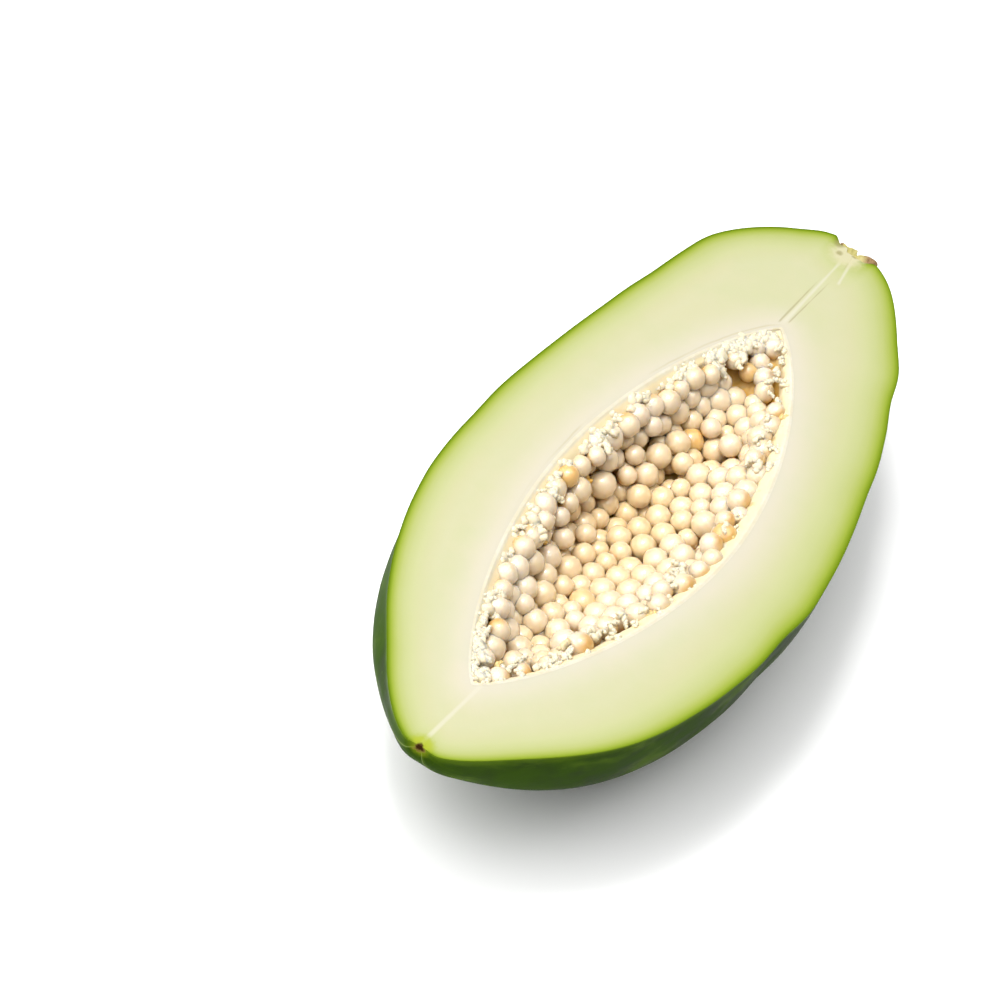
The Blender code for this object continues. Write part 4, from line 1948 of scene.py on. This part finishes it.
    def build_crumbs(self) -> bpy.types.Object:
        """Scatters shreds of torn tissue along the hollow's rim, most on its +Y side.

        Returns:
            The piece.
        """
        form = self.form
        draw = np.random.default_rng(self.seed)
        copies = []
        for _ in range(self.shred_count):
            copies.extend(self._shred(draw, *self._scattered(draw)))
        for x, y, size in self.flaps:
            for _ in range(self.flap_shreds):
                spot = np.array(form.place(x, y, -0.5 * size)) + draw.normal(0, self.flap_scatter, 3)
                copies.extend(self._shred(draw, spot, size * MM, self.flap_tone))
        models = [self._crumb(number) for number in range(self.crumb_models)]
        crumbs = copy_many("torn_crumbs", models, copies)
        depth = form.cut_height - Modeller.points(crumbs)[:, 2]
        # Depth below the cut, which the tissue's finish paints as golden shade.
        Modeller.mark(crumbs, "sunk", smooth_step(depth, 1.5 * MM, 8 * MM))
        Modeller.smooth(crumbs)
        return crumbs

    def dress(self, piece: bpy.types.Object, material: bpy.types.Material) -> None:
        """Gives a piece its finish and its place in the frame.

        Args:
            piece: The piece.
            material: Its finish.
        """
        piece.data.materials.clear()
        piece.data.materials.append(material)
        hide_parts(Node.SEEDS.value)
        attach(piece, "root")


@dataclass
class StemStub:
    """The dry half stub in the stem dimple, broken at its end, with a torn-off bit beside it.

    Attributes:
        flare: Radius at the stub's end as a share of that in the fruit.
        ragged: How far its end is broken back, as a mean.
        ragged_reach: Length of the broken end.
        ragged_width: Width of its splinters.
        ridge_width: Width of the ridges along it.
        ridge_stretch: Below 1, the ridges are longer along that axis.
        ridge_height: How deep the ridges are, as a mean.
        cut_depths: Depths below the cut where the knife's face ends and where it is full.
        cream_sides: Places across the stub where the pale tissue ends and where it is full.
        bit_middle: Place of the torn-off bit from the form's origin, in millimetres.
        bit_lump_height: Height of its lumps as a share of its radius.
        bit_lump_width: Their width, as a share of its radius.
        bit_pale_end: Places along the bit where its pale end starts and where it is full.
    """

    form: FruitForm
    radius: float = 3.5 * MM
    flare: float = 0.66
    sides: int = 48
    voxel: float = 0.26 * MM
    ragged: float = 1.1 * MM
    ragged_reach: float = 2.8 * MM
    ragged_width: float = 2.4 * MM
    ridge_width: float = 0.9 * MM
    ridge_stretch: Place = (0.25, 1.0, 1.0)
    ridge_height: float = 0.35 * MM
    cut_depths: tuple[float, float] = (1.6 * MM, 0.8 * MM)
    cream_sides: tuple[tuple[float, float], ...] = ((2.6 * MM, 1.9 * MM), (-3.4 * MM, -2.8 * MM))
    bit_middle: tuple[float, float, float] = (105.4, -5.4, -0.7)
    bit_size: tuple[float, float, float] = (2.9 * MM, 1.7 * MM, 1.2 * MM)
    bit_turn: float = math.radians(-68)
    bit_lump_height: float = 0.28
    bit_lump_width: float = 0.8
    bit_pale_end: tuple[float, float] = (0.6 * MM, -1.6 * MM)

    def build(self) -> bpy.types.Object:
        """Models the stub.

        Returns:
            The piece.
        """
        low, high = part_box(Node.STEM.value)
        length = high[0] - low[0]
        Modeller.deselect()
        bpy.ops.mesh.primitive_cone_add(
            vertices=self.sides,
            radius1=self.radius,
            radius2=self.radius * self.flare,
            depth=length,
            end_fill_type="NGON",
            location=((low[0] + high[0]) / 2, (low[1] + high[1]) / 2, self.form.cut_height),
            rotation=(0, math.pi / 2, 0),
        )
        stub = bpy.context.object
        stub.name = stub.data.name = "stem_stub_fine"
        Modeller.settle(stub)
        Modeller.choose(stub)
        bpy.ops.object.mode_set(mode="EDIT")
        bpy.ops.mesh.select_all(action="SELECT")
        bpy.ops.mesh.bisect(
            plane_co=(0, 0, self.form.cut_height), plane_no=(0, 0, 1), clear_outer=True, use_fill=True
        )
        bpy.ops.mesh.select_all(action="SELECT")
        bpy.ops.mesh.normals_make_consistent(inside=False)
        bpy.ops.object.mode_set(mode="OBJECT")
        Modeller.apply(stub, "REMESH", mode="VOXEL", voxel_size=self.voxel)
        points = Modeller.points(stub)
        end = smooth_step(points[:, 0], high[0] - self.ragged_reach, high[0])
        points[:, 0] -= end * self.ragged * (1 + lumps(points, self.ragged_width, offset=7.0))
        ridges = lumps(points * self.ridge_stretch, self.ridge_width, offset=9.0)
        points[:, 2] -= self.ridge_height * (1 + ridges)
        on_cut = smooth_step(self.form.cut_height - points[:, 2], *self.cut_depths)
        cream = hill(points[:, 1] - self.form.origin[1], *self.cream_sides)
        Modeller.move_points(stub, points)
        Modeller.mark(stub, "cut", on_cut * cream)
        Modeller.smooth(stub)
        return stub

    def build_bit(self) -> bpy.types.Object:
        """Models the torn-off bit of bark on the shoulder beside the stub.

        Returns:
            The piece.
        """
        Modeller.deselect()
        bpy.ops.mesh.primitive_uv_sphere_add(
            segments=40, ring_count=28, radius=1, rotation=(0, math.pi / 2, 0)
        )
        bit = bpy.context.object
        bit.name = bit.data.name = "stem_bark_bit"
        Modeller.settle(bit)
        points = Modeller.points(bit)
        points *= (1 + self.bit_lump_height * lumps(points, self.bit_lump_width, offset=2.0))[:, None]
        points = points * self.bit_size
        turn = np.array(Matrix.Rotation(self.bit_turn, 3, "Z"))
        Modeller.move_points(bit, points @ turn.T + np.array(self.form.place(*self.bit_middle)))
        Modeller.mark(bit, "cut", 0.9 * smooth_step(points[:, 0], *self.bit_pale_end))
        Modeller.smooth(bit)
        return bit

    def dress(self, piece: bpy.types.Object, material: bpy.types.Material) -> None:
        """Gives a piece its finish and its place in the frame.

        Args:
            piece: The piece.
            material: Its finish.
        """
        piece.data.materials.clear()
        piece.data.materials.append(material)
        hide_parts(Node.STEM.value)
        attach(piece, "root")


@dataclass
class Studio:
    """A white table under soft light, and a camera that looks down along the fruit.

    Attributes:
        surround: Strength of the white light from all sides.
        lamps: Each lamp's name, direction from the fruit, power in watts, side and distance in metres.
    """

    form: FruitForm
    azimuth: float = math.radians(-71.16)
    elevation: float = math.radians(47.20)
    roll: float = math.radians(17.14)
    distance: float = 1.0
    aim: Place = (-30.6, 24.7, 0.0)
    lens: float = 150.3
    floor_size: float = 6.0
    surround: float = 0.12
    lamps: tuple[tuple[str, Place, float, float, float], ...] = (
        ("top", (0.0, 0.0, 1.0), 31.0, 2.0, 1.6),
        ("key", (-0.1, 0.2, 0.95), 9.0, 0.3, 1.3),
        ("side", (-0.258, 0.757, 0.6), 17.0, 2.0, 1.6),
        ("front", (-0.548, 0.331, 0.6), 24.0, 2.0, 1.6),
    )

    def _axes(self) -> tuple[Vector, Vector, Vector]:
        """The camera's right, up and back directions.

        Returns:
            The three directions.
        """
        flat = math.cos(self.elevation)
        sideways, forwards = math.sin(self.azimuth) * flat, math.cos(self.azimuth) * flat
        back = Vector((sideways, -forwards, math.sin(self.elevation)))
        right = Vector((math.cos(self.azimuth), math.sin(self.azimuth), 0))
        up = back.cross(right)
        turn = Matrix.Rotation(self.roll, 3, back)
        return turn @ right, turn @ up, back

    def build_camera(self) -> None:
        """Sets up the camera at the photograph's viewing angle."""
        right, up, back = self._axes()
        data = bpy.data.cameras.new("camera")
        data.lens = self.lens
        data.sensor_width = 36
        data.clip_start = 0.01
        camera = bpy.data.objects.new("camera", data)
        axes = Matrix((right, up, back)).transposed()
        spot = Vector(self.form.place(*self.aim)) + back * self.distance
        camera.matrix_world = Matrix.LocRotScale(spot, axes.to_quaternion(), None)
        bpy.context.scene.collection.objects.link(camera)
        bpy.context.scene.camera = camera

    def build_floor(self) -> None:
        """Lays the plain pale table top."""
        Modeller.deselect()
        bpy.ops.mesh.primitive_plane_add(size=self.floor_size)
        floor = bpy.context.object
        floor.name = "table_top"
        material = bpy.data.materials.new("white_table")
        material.use_nodes = True
        shader = material.node_tree.nodes["Principled BSDF"]
        shader.inputs["Base Color"].default_value = (0.98, 0.98, 0.98, 1)
        shader.inputs["Roughness"].default_value = 0.55
        shader.inputs["Specular IOR Level"].default_value = 0.2
        floor.data.materials.append(material)

    def _lamp(self, name: str, direction: Vector, power: float, size: float, distance: float) -> None:
        """Adds one square soft lamp that shines on the fruit.

        Args:
            name: The lamp's name.
            direction: From the fruit to the lamp.
            power: Its power in watts.
            size: Its side in metres.
            distance: How far away it stands.
        """
        data = bpy.data.lights.new(name, "AREA")
        data.energy = power
        data.size = size
        lamp = bpy.data.objects.new(name, data)
        lamp.location = Vector(self.form.place(0, 0)) + direction.normalized() * distance
        lamp.rotation_mode = "QUATERNION"
        lamp.rotation_quaternion = direction.to_track_quat("Z", "Y")
        bpy.context.scene.collection.objects.link(lamp)

    def build_lights(self) -> None:
        """Lights the table by wide soft lamps from above and from the tip, and a small key lamp."""
        world = bpy.data.worlds.new("surround")
        world.use_nodes = True
        background = world.node_tree.nodes["Background"]
        background.inputs["Color"].default_value = (1.0, 1.0, 1.0, 1)
        background.inputs["Strength"].default_value = self.surround
        bpy.context.scene.world = world
        for name, direction, power, size, distance in self.lamps:
            self._lamp(name, Vector(direction), power, size, distance)
        bpy.context.scene.view_settings.view_transform = "Standard"

    def build(self) -> None:
        """Sets up the whole studio."""
        self.build_camera()
        self.build_floor()
        self.build_lights()


def main() -> None:
    """Builds the pieces in order and reports each one."""
    logging.basicConfig(level=logging.INFO, format="%(name)s: %(message)s")
    form = FruitForm.on_frame()
    Studio(form).build()

    half = FleshHalf(form)
    flesh = half.build()
    half.dress(
        flesh,
        SkinFinish(
            "papaya_skin",
            roughness=0.42,
            specular=0.01,
            specular_tint=(0.8, 1.0, 0.5),
            scar=form.place(-106.6, -0.2, -0.6),
            stem=form.place(104.5, 0.3, -1.0),
        ),
        FleshFinish(
            "papaya_flesh",
            roughness=0.46,
            specular=0.08,
            specular_tint=(1.0, 0.98, 0.7),
            through=0.1,
            through_depth=2.0 * MM,
            through_colour=(1.0, 0.9, 0.5),
            scar=form.place(-105.6, -0.4),
            scar_core_place=form.place(-106.6, -0.2),
            stem=form.place(103.5, -0.6),
            fibres=(
                (form.place(69.5, 1.5), form.place(92.0, 0.7)),
                (form.place(71.0, -0.6), form.place(93.0, -1.9)),
                # Painted shade: an olive line along the side of the pale bundle at the stem.
                (form.place(104.6, -2.2), form.place(97.5, -2.5)),
            ),
            # Painted shade: olive spots in small hollows by the stem.
            pit_shades=(
                (form.place(105.8, 3.0), 2.2 * MM),
                (form.place(102.6, 1.4), 1.2 * MM),
                (form.place(104.4, -2.5), 1.2 * MM),
            ),
            pale_lines=(
                (form.place(-81.0, -1.9), form.place(-112.0, 0.4)),
                (form.place(70.0, 0.4), form.place(112.0, -0.8)),
                (form.place(92.0, -3.9), form.place(116.0, -0.9)),
            ),
        ),
    )
    log.info("flesh and skin: %d faces", len(flesh.data.polygons))

    bed = SeedBed(form)
    tissue = TissueFinish(
        "bed_tissue", roughness=0.45, specular=0.3, through=0.55, through_depth=0.8 * MM
    ).material()
    for piece in (bed.build_lining(), bed.build_crumbs()):
        bed.dress(piece, tissue)
        log.info("%s: %d faces", piece.name, len(piece.data.polygons))
    seeds = SeedHeap(form).build()
    pearl = SeedFinish(
        "seed_pearl",
        roughness=0.3,
        coat=0.9,
        coat_roughness=0.14,
        coat_ior=1.5,
        through=0.8,
        through_depth=2.2 * MM,
    ).material()
    bed.dress(seeds, pearl)
    log.info("seeds: %d faces", len(seeds.data.polygons))

    stub = StemStub(form)
    dry = StubFinish("dry_stem", roughness=0.7, specular=0.2).material()
    for piece in (stub.build(), stub.build_bit()):
        stub.dress(piece, dry)
        log.info("%s: %d faces", piece.name, len(piece.data.polygons))


if __name__ == "__main__":
    main()
